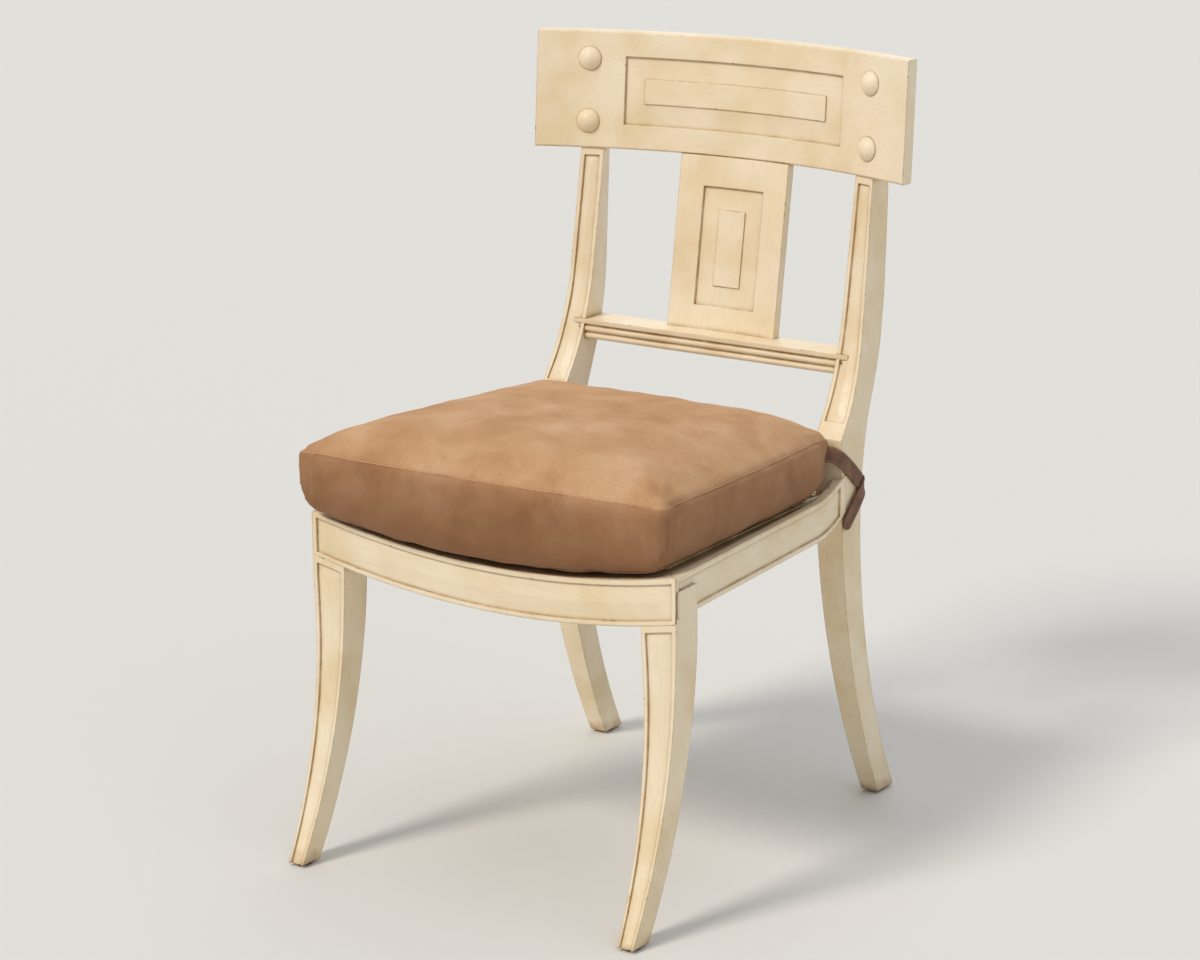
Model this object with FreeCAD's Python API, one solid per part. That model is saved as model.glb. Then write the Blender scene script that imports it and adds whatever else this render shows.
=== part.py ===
import FreeCAD, Part
import math
import os

V = FreeCAD.Vector

# Working axes: X to the sitter's left, Y from the front rail's face towards the back, Z up from the floor.
# The finished chair is moved at the end so that the origin is under the middle of its box.

# Seat frame
SEAT_HALF_FRONT = 249.0     # half width over the front corners
SEAT_HALF_REAR = 219.5      # half width over the side rails where they meet the posts
SEAT_TOP = 407.5            # height of the rails at the front corners
SEAT_DIP = 26.5             # how far the seat is dished between the corners
FRONT_RAIL_HEIGHT = 52.5
SIDE_RAIL_HEIGHT = 47.0
REAR_RAIL_HEIGHT = 47.0
FRONT_LEDGE = 52.0          # width of the front rail in plan
SIDE_LEDGE_FRONT = 48.0     # width of the side rail in plan at the mitre
SIDE_LEDGE_REAR = 36.0      # and at the post
LEDGE_THICK = 18.0          # depth of the rails behind their aprons
FRONT_APRON = 24.0
SIDE_APRON = 22.0
REAR_RAIL_THICK = 24.0
SIDE_RISE = 15.0            # how far the side rail sweeps up into the post
SIDE_RISE_RUN = 65.0        # over this length
RISE_STRIP = 14.0           # width of the swept-up strip
RISE_FALL = 8.0             # and of its slope down to the cane
EASE = 1.2                  # eased arrises

# Mouldings
RAIL_BORDER = 6.0
SUNK = 2.6                  # depth of a ridged field beside its border
RIDGE_SUNK = 0.5            # depth of its ridge
PROUD = 2.0                 # how far a cutter stands out of the wood

# Front legs
GLIDE_HEIGHT = 3.5
LEG_FOOT_OUTER = 239.5      # from the middle of the chair to the foot's outer face
LEG_FOOT_WIDTH = 20.5
LEG_TOP_WIDTH = 46.0
LEG_TOP_DEPTH = 42.0
LEG_SWEEP = 28.9            # lean of the foot, in degrees
LEG_FRONT_STRAIGHT = 287.0  # height where the front face turns upright
LEG_BACK_STRAIGHT = 327.0
LEG_STUB_TOP = 392.0
LEG_BORDER_TOP = 5.6
LEG_BORDER_FOOT = 2.8
LEG_PANEL_GAP = 7.5         # border over the leg's panel

# Rear legs with their posts
POST_FACE = 399.0           # front face of the post at the seat
POST_BACK = 443.5           # back face of the post at the seat
NOSE_HEIGHT = 467.0         # where the post's face breaks back above the seat
BACK_WAIST = 390.0          # height where the back face is upright
REAR_SWEEP_FRONT = -26.7
REAR_SWEEP_BACK = -27.8
# Leans of the post's faces, as (height above the nose, degrees from upright)
POST_FRONT_LEAN = [(0.0, 44.0), (33.0, 31.0), (93.0, 17.0), (143.0, 9.0), (436.0, 6.0)]
POST_BACK_LEAN = [(13.0, 22.0), (48.0, 22.0), (158.0, 3.5), (436.0, 2.5)]
# Outer face and width of the post, as (height, size)
POST_OUTER = [(3.5, 212.0), (250.0, 215.5), (420.0, 218.0), (467.0, 216.5), (600.0, 208.5), (903.0, 202.0)]
POST_WIDTH = [(3.5, 23.0), (250.0, 32.0), (440.0, 36.5), (600.0, 31.0), (761.0, 29.0), (903.0, 29.0)]
TURN_RISE = 33.0            # the posts turn to follow the crest from here above the nose
NOSE_UPRIGHT = 27.0         # upright length of the front face under the nose
POST_BORDER = 5.0
POST_PANEL_FOOT = 484.0
POST_PANEL_GAP = 9.0        # border between the post's panel and the crest

# Crest rail, splat and stay rail
CREST_HALF = 258.0
CREST_FOOT = 761.0          # height of the crest's lower edge
CREST_HEIGHT = 142.0
CREST_THICK = 18.0
CREST_END_Y = 460.7         # front face at the crest's ends, at its lower edge
CREST_RADIUS = 642.0
CREST_LEAN = 4.2
CREST_EASE = 1.8
LAP_DEPTH = 10.0            # wood of the crest in front of the post's tongue
TONGUE_TOP = 14.0           # wood of the crest above the tongue
PANEL_HALF = 152.0
PANEL_HEIGHT = 82.0
FIELD_HALF = 127.0
FIELD_HEIGHT = 30.0
PANEL_SUNK = 3.2            # depth at the panel's edge
FIELD_STEP = 1.4            # step round the raised field
SPLAT_HALF = 75.5
SPLAT_THICK = 10.0
SPLAT_FOOT = 551.0
SPLAT_FOOT_Y = 481.0        # front face of the splat at its foot, in the middle
SPLAT_PANEL_HALF = 42.0
SPLAT_PANEL_FOOT = 583.5
SPLAT_PANEL_TOP = 725.0
SPLAT_FIELD_HALF = 18.5
SPLAT_FIELD_FOOT = 608.0
SPLAT_FIELD_TOP = 698.5
TENON_SHOULDER = 2.0
SPLAT_TENON = 12.0
STAY_HEIGHT = 24.0
STAY_TOP = 555.5
STAY_FACE = 452.0
STAY_DEPTH = 40.0
STAY_TENON = 16.0
STAY_BEAD = 2.4             # how far the stay rail's beads stand out
STAY_BEAD_SHARE = 0.3       # height of a bead as a share of the rail's
STAY_GROOVE_SHARE = 0.06    # and of the groove over it
REAR_TENON = 18.0

# Bosses, screws and dowels
BOSS_OUT = 196.0            # from the middle of the chair
BOSS_HEIGHTS = [794.0, 869.5]
BOSS_RADIUS = 14.5
BOSS_DOME = 8.0
BOSS_SIDES = 20
BOSS_SLICES = [1.0, 0.8, 0.6, 0.38, 0.16]      # rings of the dome, as shares of its arc
SPIGOT_RADIUS = 7.0
SPIGOT_LENGTH = 4.0
SCREW_RADIUS = 2.2
SCREW_HEAD_RADIUS = 4.4
SCREW_HEAD = 2.6
SCREW_LENGTH = 24.0
CREST_SCREW_LENGTH = 18.0
DOWEL_RADIUS = 4.0
DOWEL_LENGTH = 34.0
BLOCK_SPAN = 30.0           # width of a corner block along the rails
BLOCK_REACH = 40.0          # how far it runs along each rail behind the leg
BLOCK_CLEAR = 1.0           # its underside above the side rail's lower edge
BLOCK_SCREW_SHARE = 0.28    # place of its screws across its open face
MITRE_DOWEL_SHARE = 0.68    # place of the mitre's dowel along the mitre, from outside
POST_DOWEL_SHARES = [0.25, 0.72]    # places of the post's dowels down the side rail's end
GLIDE_RADIUS = 8.5
GLIDE_SIDES = 16
NAIL_RADIUS = 1.3
NAIL_LENGTH = 14.0

# Cane seat
CANE_SET = 12.0             # from a rail's inner edge to its row of holes
CANE_THICK = 1.4
CANE_PITCH = 40.0
CANE_BAR = 5.0
SPLINE_WIDTH = 5.0
SPLINE_THICK = 1.6
SEAT_GAP = 0.3              # between pieces that only rest on each other

# Cushion and its ties
CUSHION_HALF_FRONT = 247.0
CUSHION_HALF_REAR = 214.0
CUSHION_FRONT = -8.0
CUSHION_BACK = 390.0
CUSHION_CORNER = 14.0
CUSHION_BULGE = 6.0
CORNER_STEPS = 3
SIDE_STEPS = 5
CUSHION_LAYERS = [(384.0, 26.0), (400.0, 12.0), (418.0, 4.0), (440.0, 0.0), (464.0, 0.0), (479.0, 3.0),
                  (490.0, 12.0), (501.0, 28.0), (512.0, 54.0), (521.0, 90.0), (528.0, 145.0)]
COVER_THICK = 3.0
CORE_GAP = 0.6
CUSHION_LIFT = 4.1          # underside of the cushion above the dished seat
STRAP_THICK = 2.0
STRAP_WIDTH = 18.0
STRAP_HEIGHT = 440.0        # where the ties leave the cushion
STRAP_START = 6.0           # and how far in front of the post's face
OUTER_TIE_DROP = 4.0        # the outer tie starts lower
INNER_TIE_RISE = 12.0       # and the inner one higher
STRAP_WRAP = 399.0          # their lower edge behind the post
STRAP_BEHIND = 2.5          # room between the post and the ties behind it
LINK_INSET = 3.0            # where the ties lie on each other
# Rounded end of the free tie, as (behind the post's face, above the wrap)
TIE_END = [(12.0, -41.0), (3.0, -37.0), (0.0, -29.0), (4.0, -22.0)]

LOFT_DEGREE = 3             # smooth lofts stay true to their sections at this degree
DISH_STEPS = 8              # sections of a smooth loft across the dished seat

PARTS = {}


# Plain geometry

def polygon(points):
    return Part.makePolygon(points + [points[0]])


def loft(sections, ruled=False):
    return Part.makeLoft([polygon(section) for section in sections], True, ruled, False, LOFT_DEGREE)


def spread(low, high, steps):
    return [low + (high - low) * i / steps for i in range(steps + 1)]


def between(value, table):
    # Straight-line reading of a table of (height, size) pairs.
    for (z1, a), (z2, b) in zip(table, table[1:]):
        if value <= z2:
            return a + (b - a) * (value - z1) / (z2 - z1)
    return table[-1][1]


def prism(points, low, high):
    # Upright prism over a plan outline.
    return Part.Face(polygon([V(x, y, low) for x, y in points])).extrude(V(0, 0, high - low))


def side_prism(points, start, depth):
    # Prism along X over an outline given as (y, z) pairs.
    return Part.Face(polygon([V(start, y, z) for y, z in points])).extrude(V(depth, 0, 0))


def mirrored(shape):
    return shape.mirror(V(0, 0, 0), V(1, 0, 0))


def turned(place, direction, profile, sides=12):
    # A turned piece as a ruled loft of rings: the profile lists (distance along, radius).
    up = V(0, 0, 1) if abs(direction.z) < 0.9 else V(1, 0, 0)
    across = direction.cross(up).normalize()
    over = direction.cross(across)
    rings = []
    for along, radius in profile:
        centre = place + direction * along
        turns = [2 * math.pi * i / sides for i in range(sides)]
        rings.append([centre + across * (radius * math.cos(t)) + over * (radius * math.sin(t)) for t in turns])
    return loft(rings, True)


def fused(shapes):
    first = shapes[0]
    return first.multiFuse(shapes[1:]) if len(shapes) > 1 else first


def face_curve(leans, z_ref, y_ref):
    # Depth of a face against height, made of tangent arcs: leans are (height, degrees from upright),
    # and the sine of the lean changes evenly with height along each arc.
    spans = []
    rise = 0.0
    for (z1, a1), (z2, a2) in zip(leans, leans[1:]):
        s1, s2 = math.sin(math.radians(a1)), math.sin(math.radians(a2))
        if z2 > z1:
            spans.append((z1, z2, s1, s2, rise))
            rise += arc_rise(z1, z2, s1, s2, z2)

    def raw(z):
        for z1, z2, s1, s2, start in spans:
            if z <= z2 or z2 == spans[-1][1]:
                return start + arc_rise(z1, z2, s1, s2, z)

    offset = y_ref - raw(z_ref)
    return lambda z: raw(z) + offset


def arc_rise(z1, z2, s1, s2, z):
    if abs(s2 - s1) < 1e-9:
        return (z - z1) * s1 / math.sqrt(1 - s1 * s1)
    radius = (z2 - z1) / (s2 - s1)
    s = s1 + (z - z1) / radius
    return radius * (math.sqrt(1 - s1 * s1) - math.sqrt(1 - s * s))


# The seat's dish: a shallow trough that runs from front to back

DISH_RADIUS = (SEAT_HALF_FRONT ** 2 + SEAT_DIP ** 2) / (2 * SEAT_DIP)


def dish(x):
    return SEAT_TOP - SEAT_DIP + DISH_RADIUS - math.sqrt(DISH_RADIUS ** 2 - x * x)


def under_dish(drop):
    # All that lies lower than the dished seat by the given drop.
    xs = spread(-SEAT_HALF_FRONT - FRONT_LEDGE, SEAT_HALF_FRONT + FRONT_LEDGE, DISH_STEPS)
    front, back = -FRONT_LEDGE, POST_BACK + FRONT_LEDGE
    return loft([[V(x, front, dish(x) - drop), V(x, back, dish(x) - drop), V(x, back, 0), V(x, front, 0)]
                 for x in xs])


def post_inner(z):
    return between(z, POST_OUTER) - between(z, POST_WIDTH)


def side_outer(y):
    return SEAT_HALF_FRONT + (SEAT_HALF_REAR - SEAT_HALF_FRONT) * y / POST_FACE


def side_ledge(y):
    return SIDE_LEDGE_FRONT + (SIDE_LEDGE_REAR - SIDE_LEDGE_FRONT) * y / POST_FACE


def side_rise(y):
    run = max(0.0, y - (POST_FACE - SIDE_RISE_RUN)) / SIDE_RISE_RUN
    return SIDE_RISE * run * run


def ridged_field(point, stations, depth, ridge, hips):
    # Cutter for a sunk field with a ridge along its middle. Stations are (where, edge, other edge), point()
    # turns where, a place across the field and a depth into the wood into a point, and hips lists the
    # ends where the field rises from its border as a hip: (station, where the hip ends).
    sections = []
    for where, a, b in stations:
        mid = (a + b) / 2
        sections.append([point(where, a, -PROUD), point(where, a, depth), point(where, mid, ridge),
                         point(where, b, depth), point(where, b, -PROUD)])
    cutters = [loft(sections, len(stations) < 3)]
    for (w1, a1, b1), (w2, a2, b2) in hips:
        cutters.append(loft([[point(w1, a1, -PROUD), point(w1, a1, depth), point(w1, b1, depth),
                              point(w1, b1, -PROUD)],
                             [point(w2, a2, -PROUD), point(w2, a2, ridge), point(w2, b2, ridge),
                              point(w2, b2, -PROUD)]], True))
    return fused(cutters)


# Seat rails

def mitre_line():
    return (SEAT_HALF_FRONT, 0.0), (SEAT_HALF_FRONT - SIDE_LEDGE_FRONT, FRONT_LEDGE)


def beyond_mitre(side):
    # Prism over the side rail's half of the mitre (side 1) or the front rail's (side -1).
    (x1, y1), (x2, y2) = mitre_line()
    reach = 2 * POST_BACK
    slope = (x1 - x2) / (y2 - y1)
    a = (x1 + reach * slope, y1 - reach)
    b = (x2 - reach * slope, y2 + reach)
    shift = side * 3 * reach
    return prism([a, b, (b[0] + shift, b[1] + shift), (a[0] + shift, a[1] + shift)], 0, 2 * SEAT_TOP)


def front_rail_blank():
    def section(x):
        outline = [(0, EASE), (EASE, 0), (FRONT_LEDGE, 0), (FRONT_LEDGE, LEDGE_THICK),
                   (FRONT_APRON, LEDGE_THICK), (FRONT_APRON, FRONT_RAIL_HEIGHT),
                   (EASE, FRONT_RAIL_HEIGHT), (0, FRONT_RAIL_HEIGHT - EASE)]
        return [V(x, y, dish(x) - drop) for y, drop in outline]

    blank = loft([section(x) for x in spread(-SEAT_HALF_FRONT, SEAT_HALF_FRONT, DISH_STEPS)])
    side = beyond_mitre(1)
    return blank.cut(side).cut(mirrored(side))


def front_rail_field():
    def point(x, down, depth):
        return V(x, depth, dish(x) - down)

    low, high = RAIL_BORDER, FRONT_RAIL_HEIGHT - RAIL_BORDER
    end = SEAT_HALF_FRONT - RAIL_BORDER
    hip = (high - low) / 2
    stations = [(x, low, high) for x in spread(-end, end, DISH_STEPS)]
    hips = [((s * end, low, high), (s * (end - hip), low, high)) for s in (-1, 1)]
    return ridged_field(point, stations, SUNK, RIDGE_SUNK, hips)


def side_top(y):
    # The rim keeps its own slope along the rail and banks down to the trough of the seat: (inset, height).
    outer, width = side_outer(y), side_ledge(y)
    top = SEAT_TOP + side_rise(y)
    fall = SEAT_TOP - dish(SEAT_HALF_FRONT - RISE_STRIP)
    bank = RISE_STRIP + RISE_FALL
    return [(EASE, top), (RISE_STRIP, top - fall), (bank, dish(outer - bank)), (width, dish(outer - width))]


def side_loft(section):
    # Ruled along the straight length, smooth along the sweep up into the post.
    straight = POST_FACE - SIDE_RISE_RUN
    front = loft([section(-FRONT_APRON), section(straight)], True)
    return front.fuse(loft([section(y) for y in spread(straight, POST_FACE + FRONT_APRON / 3, 4)]))


def side_rail_blank():
    def section(y):
        outer, width = side_outer(y), side_ledge(y)
        top = SEAT_TOP + side_rise(y)
        foot = top - SIDE_RAIL_HEIGHT
        web = dish(outer - SIDE_APRON) - LEDGE_THICK
        outline = [(0, top - EASE)] + side_top(y)
        outline += [(width, dish(outer - width) - LEDGE_THICK), (SIDE_APRON, web), (SIDE_APRON, foot),
                    (EASE, foot), (0, foot + EASE)]
        return [V(outer - inset, y, z) for inset, z in outline]

    return side_loft(section).common(beyond_mitre(1))


def above_side_rail(lift):
    # The room that the side rail's top takes from what lies on it.
    def section(y):
        outer = side_outer(y)
        outline = [(-RISE_STRIP, SEAT_TOP - LEDGE_THICK)]
        outline += [(-RISE_STRIP, SEAT_TOP + side_rise(y) + lift)]
        outline += [(inset, z + lift) for inset, z in side_top(y)]
        outline += [(side_ledge(y), SEAT_TOP - SEAT_DIP - LEDGE_THICK)]
        return [V(outer - inset, y, z) for inset, z in outline]

    return side_loft(section)


def side_rail_field():
    def point(y, down, depth):
        return V(side_outer(y) - depth, y, SEAT_TOP + side_rise(y) - down)

    low, high = RAIL_BORDER, SIDE_RAIL_HEIGHT - RAIL_BORDER
    hip = (high - low) / 2
    start, end = RAIL_BORDER, POST_FACE - RAIL_BORDER
    straight = POST_FACE - SIDE_RISE_RUN
    front = ridged_field(point, [(start, low, high), (straight, low, high)], SUNK, RIDGE_SUNK,
                         [((start, low, high), (start + hip, low, high))])
    rear = ridged_field(point, [(y, low, high) for y in spread(straight, end, 4)], SUNK, RIDGE_SUNK,
                        [((end, low, high), (end - hip, low, high))])
    return front.fuse(rear)


def rear_rail_blank():
    reach = post_inner(SEAT_TOP)
    overrun = REAR_TENON / 3
    rail = loft([[V(x, POST_FACE, dish(x)), V(x, POST_FACE + REAR_RAIL_THICK, dish(x)),
                  V(x, POST_FACE + REAR_RAIL_THICK, dish(x) - REAR_RAIL_HEIGHT),
                  V(x, POST_FACE, dish(x) - REAR_RAIL_HEIGHT)] for x in spread(-reach - overrun, reach + overrun, DISH_STEPS)])
    tongue = REAR_RAIL_THICK / 3
    low = dish(reach) - REAR_RAIL_HEIGHT + 2 * TENON_SHOULDER
    tenon = Part.makeBox(2 * REAR_TENON, tongue, REAR_RAIL_HEIGHT - 5 * TENON_SHOULDER,
                         V(reach - REAR_TENON, POST_FACE + tongue, low))
    return rail, tenon.fuse(mirrored(tenon))


# Legs and posts

leg_front = face_curve([(GLIDE_HEIGHT, LEG_SWEEP), (LEG_FRONT_STRAIGHT, 0), (SEAT_TOP, 0)],
                       LEG_FRONT_STRAIGHT, 0.0)
leg_back = face_curve([(GLIDE_HEIGHT, LEG_SWEEP), (LEG_BACK_STRAIGHT, 0), (SEAT_TOP, 0)],
                      LEG_BACK_STRAIGHT, LEG_TOP_DEPTH)
post_front_low = face_curve([(GLIDE_HEIGHT, REAR_SWEEP_FRONT), (NOSE_HEIGHT - NOSE_UPRIGHT, 0),
                             (NOSE_HEIGHT, 0)], NOSE_HEIGHT, POST_FACE)
post_front_high = face_curve([(NOSE_HEIGHT + z, a) for z, a in POST_FRONT_LEAN], NOSE_HEIGHT, POST_FACE)
post_back = face_curve([(GLIDE_HEIGHT, REAR_SWEEP_BACK), (BACK_WAIST, 0)]
                       + [(NOSE_HEIGHT + z, a) for z, a in POST_BACK_LEAN], BACK_WAIST, POST_BACK)


def leg_outer(z):
    return between(z, [(GLIDE_HEIGHT, LEG_FOOT_OUTER), (LEG_BACK_STRAIGHT, SEAT_HALF_FRONT),
                       (SEAT_TOP, SEAT_HALF_FRONT)])


def leg_inner(z):
    top = SEAT_TOP - FRONT_RAIL_HEIGHT
    return between(z, [(GLIDE_HEIGHT, LEG_FOOT_OUTER - LEG_FOOT_WIDTH),
                       (top, SEAT_HALF_FRONT - LEG_TOP_WIDTH), (SEAT_TOP, SEAT_HALF_FRONT - LEG_TOP_WIDTH)])


def front_leg_blank():
    def section(z):
        return [V(leg_inner(z), leg_front(z), z), V(leg_outer(z), leg_front(z), z),
                V(leg_outer(z), leg_back(z), z), V(leg_inner(z), leg_back(z), z)]

    sweep = loft([section(z) for z in spread(GLIDE_HEIGHT, LEG_BACK_STRAIGHT, 6)])
    return sweep.fuse(loft([section(LEG_BACK_STRAIGHT), section(LEG_STUB_TOP)], True))


def front_leg_field():
    # The panel's top edge runs parallel to the rail's underside, and the tilt fades out down the leg.
    top = SEAT_TOP - FRONT_RAIL_HEIGHT - LEG_PANEL_GAP
    slope = (dish(SEAT_HALF_FRONT) - dish(SEAT_HALF_FRONT - LEG_TOP_WIDTH)) / LEG_TOP_WIDTH

    def border(z):
        return between(z, [(GLIDE_HEIGHT, LEG_BORDER_FOOT), (top, LEG_BORDER_TOP)])

    def point(z, x, depth):
        fade = max(0.0, (z - (top - LEG_TOP_WIDTH)) / LEG_TOP_WIDTH)
        level = z - fade * slope * (leg_outer(z) - x)
        return V(x, leg_front(level) + depth, level)

    def station(z):
        return z, leg_inner(z) + border(z), leg_outer(z) - border(z)

    foot = GLIDE_HEIGHT - 2 * PROUD
    hip = LEG_TOP_WIDTH / 2 - LEG_BORDER_TOP
    stations = [station(z) for z in [foot] + spread(LEG_TOP_WIDTH, top, 6)]
    return ridged_field(point, stations, SUNK, RIDGE_SUNK, [(station(top), station(top - hip))])


def post_turn(z):
    top = math.asin(BOSS_OUT / CREST_RADIUS)
    start = NOSE_HEIGHT + TURN_RISE
    return between(z, [(GLIDE_HEIGHT, 0.0), (start, 0.0), (CREST_FOOT, top), (CREST_FOOT * 2, top)])


def post_corner(z, inward, back, high):
    # A point of the post's section: inward along its face and back into the wood.
    turn = post_turn(z)
    face = (post_front_high if high else post_front_low)(z)
    return V(between(z, POST_OUTER) - inward * math.cos(turn) + back * math.sin(turn),
             face + inward * math.sin(turn) + back * math.cos(turn), z)


def post_section(z, high):
    width = between(z, POST_WIDTH)
    face = (post_front_high if high else post_front_low)(z)
    depth = (post_back(z) - face) / math.cos(post_turn(z))
    return [post_corner(z, 0, 0, high), post_corner(z, 0, depth, high),
            post_corner(z, width, depth, high), post_corner(z, width, 0, high)]


def rear_post_blank():
    tongue_top = CREST_FOOT + CREST_HEIGHT - TONGUE_TOP
    leg = loft([post_section(z, False) for z in spread(GLIDE_HEIGHT, NOSE_HEIGHT, 10)])
    post = loft([post_section(z, True) for z in spread(NOSE_HEIGHT, CREST_FOOT, 11)])
    tongue = loft([post_section(CREST_FOOT, True), post_section(tongue_top, True)], True)
    return fused([leg, post, tongue])


def post_field():
    top = CREST_FOOT - POST_PANEL_GAP

    def point(z, inward, depth):
        return post_corner(z, inward, depth, True)

    def station(z):
        return z, POST_BORDER, between(z, POST_WIDTH) - POST_BORDER

    hip = between(top, POST_WIDTH) / 2 - POST_BORDER
    return ridged_field(point, [station(z) for z in spread(POST_PANEL_FOOT, top, 10)], SUNK, RIDGE_SUNK,
                        [(station(top), station(top - hip)),
                         (station(POST_PANEL_FOOT), station(POST_PANEL_FOOT + hip))])


# The back's curved boards. Their faces lie on a trough about an axis in front of the chair, and lean back.

CREST_CENTRE_Y = CREST_END_Y - math.sqrt(CREST_RADIUS ** 2 - CREST_HALF ** 2)
CREST_SLOPE = math.tan(math.radians(CREST_LEAN))
SPLAT_SLOPE = (CREST_CENTRE_Y + CREST_RADIUS - SPLAT_FOOT_Y) / (CREST_FOOT - SPLAT_FOOT)


def board_point(x, z, depth, slope):
    # A point behind the place x of a board's front face, straight into the wood.
    angle = math.asin(x / CREST_RADIUS)
    radius = CREST_RADIUS + depth
    y = CREST_CENTRE_Y + radius * math.cos(angle) + slope * (z - CREST_FOOT)
    return V(radius * math.sin(angle), y, z)


def board(half, outline, slope, steps=8):
    # A board whose outline is given as (depth, height) pairs.
    xs = spread(-half, half, steps)
    return loft([[board_point(x, z, depth, slope) for depth, z in outline] for x in xs])


def fielded_panel(half, low, high, field_half, field_low, field_high, slope):
    # Cutter for a sunk panel that slopes up to a raised field with a small step round it.
    steps = 6 if half > SPLAT_HALF else 2
    rails = board(half, [(-PROUD, low), (PANEL_SUNK, low), (FIELD_STEP, field_low), (FIELD_STEP, field_high),
                         (PANEL_SUNK, high), (-PROUD, high)], slope, steps)
    ends = []
    for s in (-1, 1):
        outline = [(half, -PROUD), (half, PANEL_SUNK), (field_half, FIELD_STEP), (field_half, -PROUD)]
        ends.append(loft([[board_point(s * x, z, depth, slope) for x, depth in outline]
                          for z in (low, high)], True))
    field = board(field_half, [(-2 * PROUD, field_low), (2 * PANEL_SUNK, field_low),
                               (2 * PANEL_SUNK, field_high), (-2 * PROUD, field_high)], slope, steps)
    return fused([rails] + ends).cut(field)


def crest_blank():
    # The ends are cut square across the chair, not towards the centre of the curve.
    top = CREST_FOOT + CREST_HEIGHT
    ends = Part.makeBox(2 * CREST_HALF, CREST_RADIUS, 2 * CREST_HEIGHT,
                        V(-CREST_HALF, 0, CREST_FOOT - CREST_HEIGHT / 2))
    outline = [(CREST_EASE, CREST_FOOT), (0, CREST_FOOT + CREST_EASE), (0, top - CREST_EASE),
               (CREST_EASE, top), (CREST_THICK - CREST_EASE, top), (CREST_THICK, top - CREST_EASE),
               (CREST_THICK, CREST_FOOT + CREST_EASE), (CREST_THICK - CREST_EASE, CREST_FOOT)]
    return board(CREST_HALF + CREST_THICK, outline, CREST_SLOPE).common(ends)


def crest_panel():
    middle = CREST_FOOT + CREST_HEIGHT / 2
    return fielded_panel(PANEL_HALF, middle - PANEL_HEIGHT / 2, middle + PANEL_HEIGHT / 2,
                         FIELD_HALF, middle - FIELD_HEIGHT / 2, middle + FIELD_HEIGHT / 2, CREST_SLOPE)


def lap_front():
    # What is cut from the post in front of its tongue.
    top = CREST_FOOT + CREST_HEIGHT
    return board(CREST_HALF, [(-CREST_THICK, CREST_FOOT), (LAP_DEPTH, CREST_FOOT), (LAP_DEPTH, top),
                              (-CREST_THICK, top)], CREST_SLOPE)


def splat_blank():
    body = board(SPLAT_HALF, [(0, SPLAT_FOOT), (0, CREST_FOOT), (SPLAT_THICK, CREST_FOOT),
                              (SPLAT_THICK, SPLAT_FOOT)], SPLAT_SLOPE, 2)
    tenon_front, tenon_back = TENON_SHOULDER, SPLAT_THICK - TENON_SHOULDER
    half = SPLAT_HALF - 5 * TENON_SHOULDER
    upper = board(half, [(tenon_front, CREST_FOOT), (tenon_front, CREST_FOOT + SPLAT_TENON),
                         (tenon_back, CREST_FOOT + SPLAT_TENON), (tenon_back, CREST_FOOT)], CREST_SLOPE, 2)
    return body.fuse(upper)


def stay_rail_blank():
    reach = post_inner(STAY_TOP) + STAY_TENON
    foot = STAY_TOP - STAY_HEIGHT
    bead = STAY_HEIGHT * STAY_BEAD_SHARE
    groove = STAY_HEIGHT * STAY_GROOVE_SHARE
    face, back = STAY_FACE, STAY_FACE + STAY_DEPTH

    def at(y, z):
        return V(-reach, y, z)

    def bead_arc(low, high):
        return Part.Arc(at(face, low), at(face - STAY_BEAD, (low + high) / 2), at(face, high)).toShape()

    def line(a, b):
        return Part.LineSegment(a, b).toShape()

    z1, z2 = foot + bead, foot + bead + groove
    z3, z4 = z2 + bead, z2 + bead + groove
    sink = face + STAY_BEAD / 2
    outline = [(face, z4), (face - STAY_BEAD, z4 + groove), (face - STAY_BEAD, STAY_TOP), (back, STAY_TOP),
               (back, foot), (face, foot)]
    edges = [bead_arc(foot, z1), line(at(face, z1), at(sink, (z1 + z2) / 2))]
    edges += [line(at(sink, (z1 + z2) / 2), at(face, z2)), bead_arc(z2, z3)]
    edges += [line(at(face, z3), at(sink, (z3 + z4) / 2)), line(at(sink, (z3 + z4) / 2), at(face, z4))]
    edges += [line(at(*a), at(*b)) for a, b in zip(outline, outline[1:])]
    return Part.Face(Part.Wire(edges)).extrude(V(2 * reach, 0, 0))


# Turned pieces and fasteners

def screw(place, direction, length):
    return turned(place, direction, [(0, SCREW_HEAD_RADIUS), (SCREW_HEAD, SCREW_RADIUS), (length, SCREW_RADIUS)])


def dowel(place, direction):
    # A fluted dowel, given by its middle.
    half = DOWEL_LENGTH / 2
    return turned(place, direction, [(-half, DOWEL_RADIUS), (half, DOWEL_RADIUS)])


def crest_direction(x):
    # Square into the crest's curved, leaning face.
    angle = math.asin(x / CREST_RADIUS)
    return V(math.sin(angle), math.cos(angle), -CREST_SLOPE * math.cos(angle)).normalize()


def boss(x, z):
    # A domed plug: a cap whose profile is an arc, on a spigot.
    into = crest_direction(x)
    seat = board_point(x, z, 0, CREST_SLOPE) - into * SEAT_GAP
    ball = (BOSS_RADIUS ** 2 + BOSS_DOME ** 2) / (2 * BOSS_DOME)
    reach = math.asin(BOSS_RADIUS / ball)
    slices = [reach * share for share in BOSS_SLICES]
    profile = [(BOSS_DOME - ball + ball * math.cos(t), ball * math.sin(t)) for t in slices]
    cap = turned(seat, into * -1, profile, BOSS_SIDES)
    return cap.fuse(turned(seat, into, [(-BOSS_DOME / 2, SPIGOT_RADIUS), (SPIGOT_LENGTH, SPIGOT_RADIUS)]))


def boss_socket(x, z):
    into = crest_direction(x)
    depth = SPIGOT_LENGTH + SEAT_GAP
    return turned(board_point(x, z, 0, CREST_SLOPE), into, [(-PROUD, SPIGOT_RADIUS), (depth, SPIGOT_RADIUS)])


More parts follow.
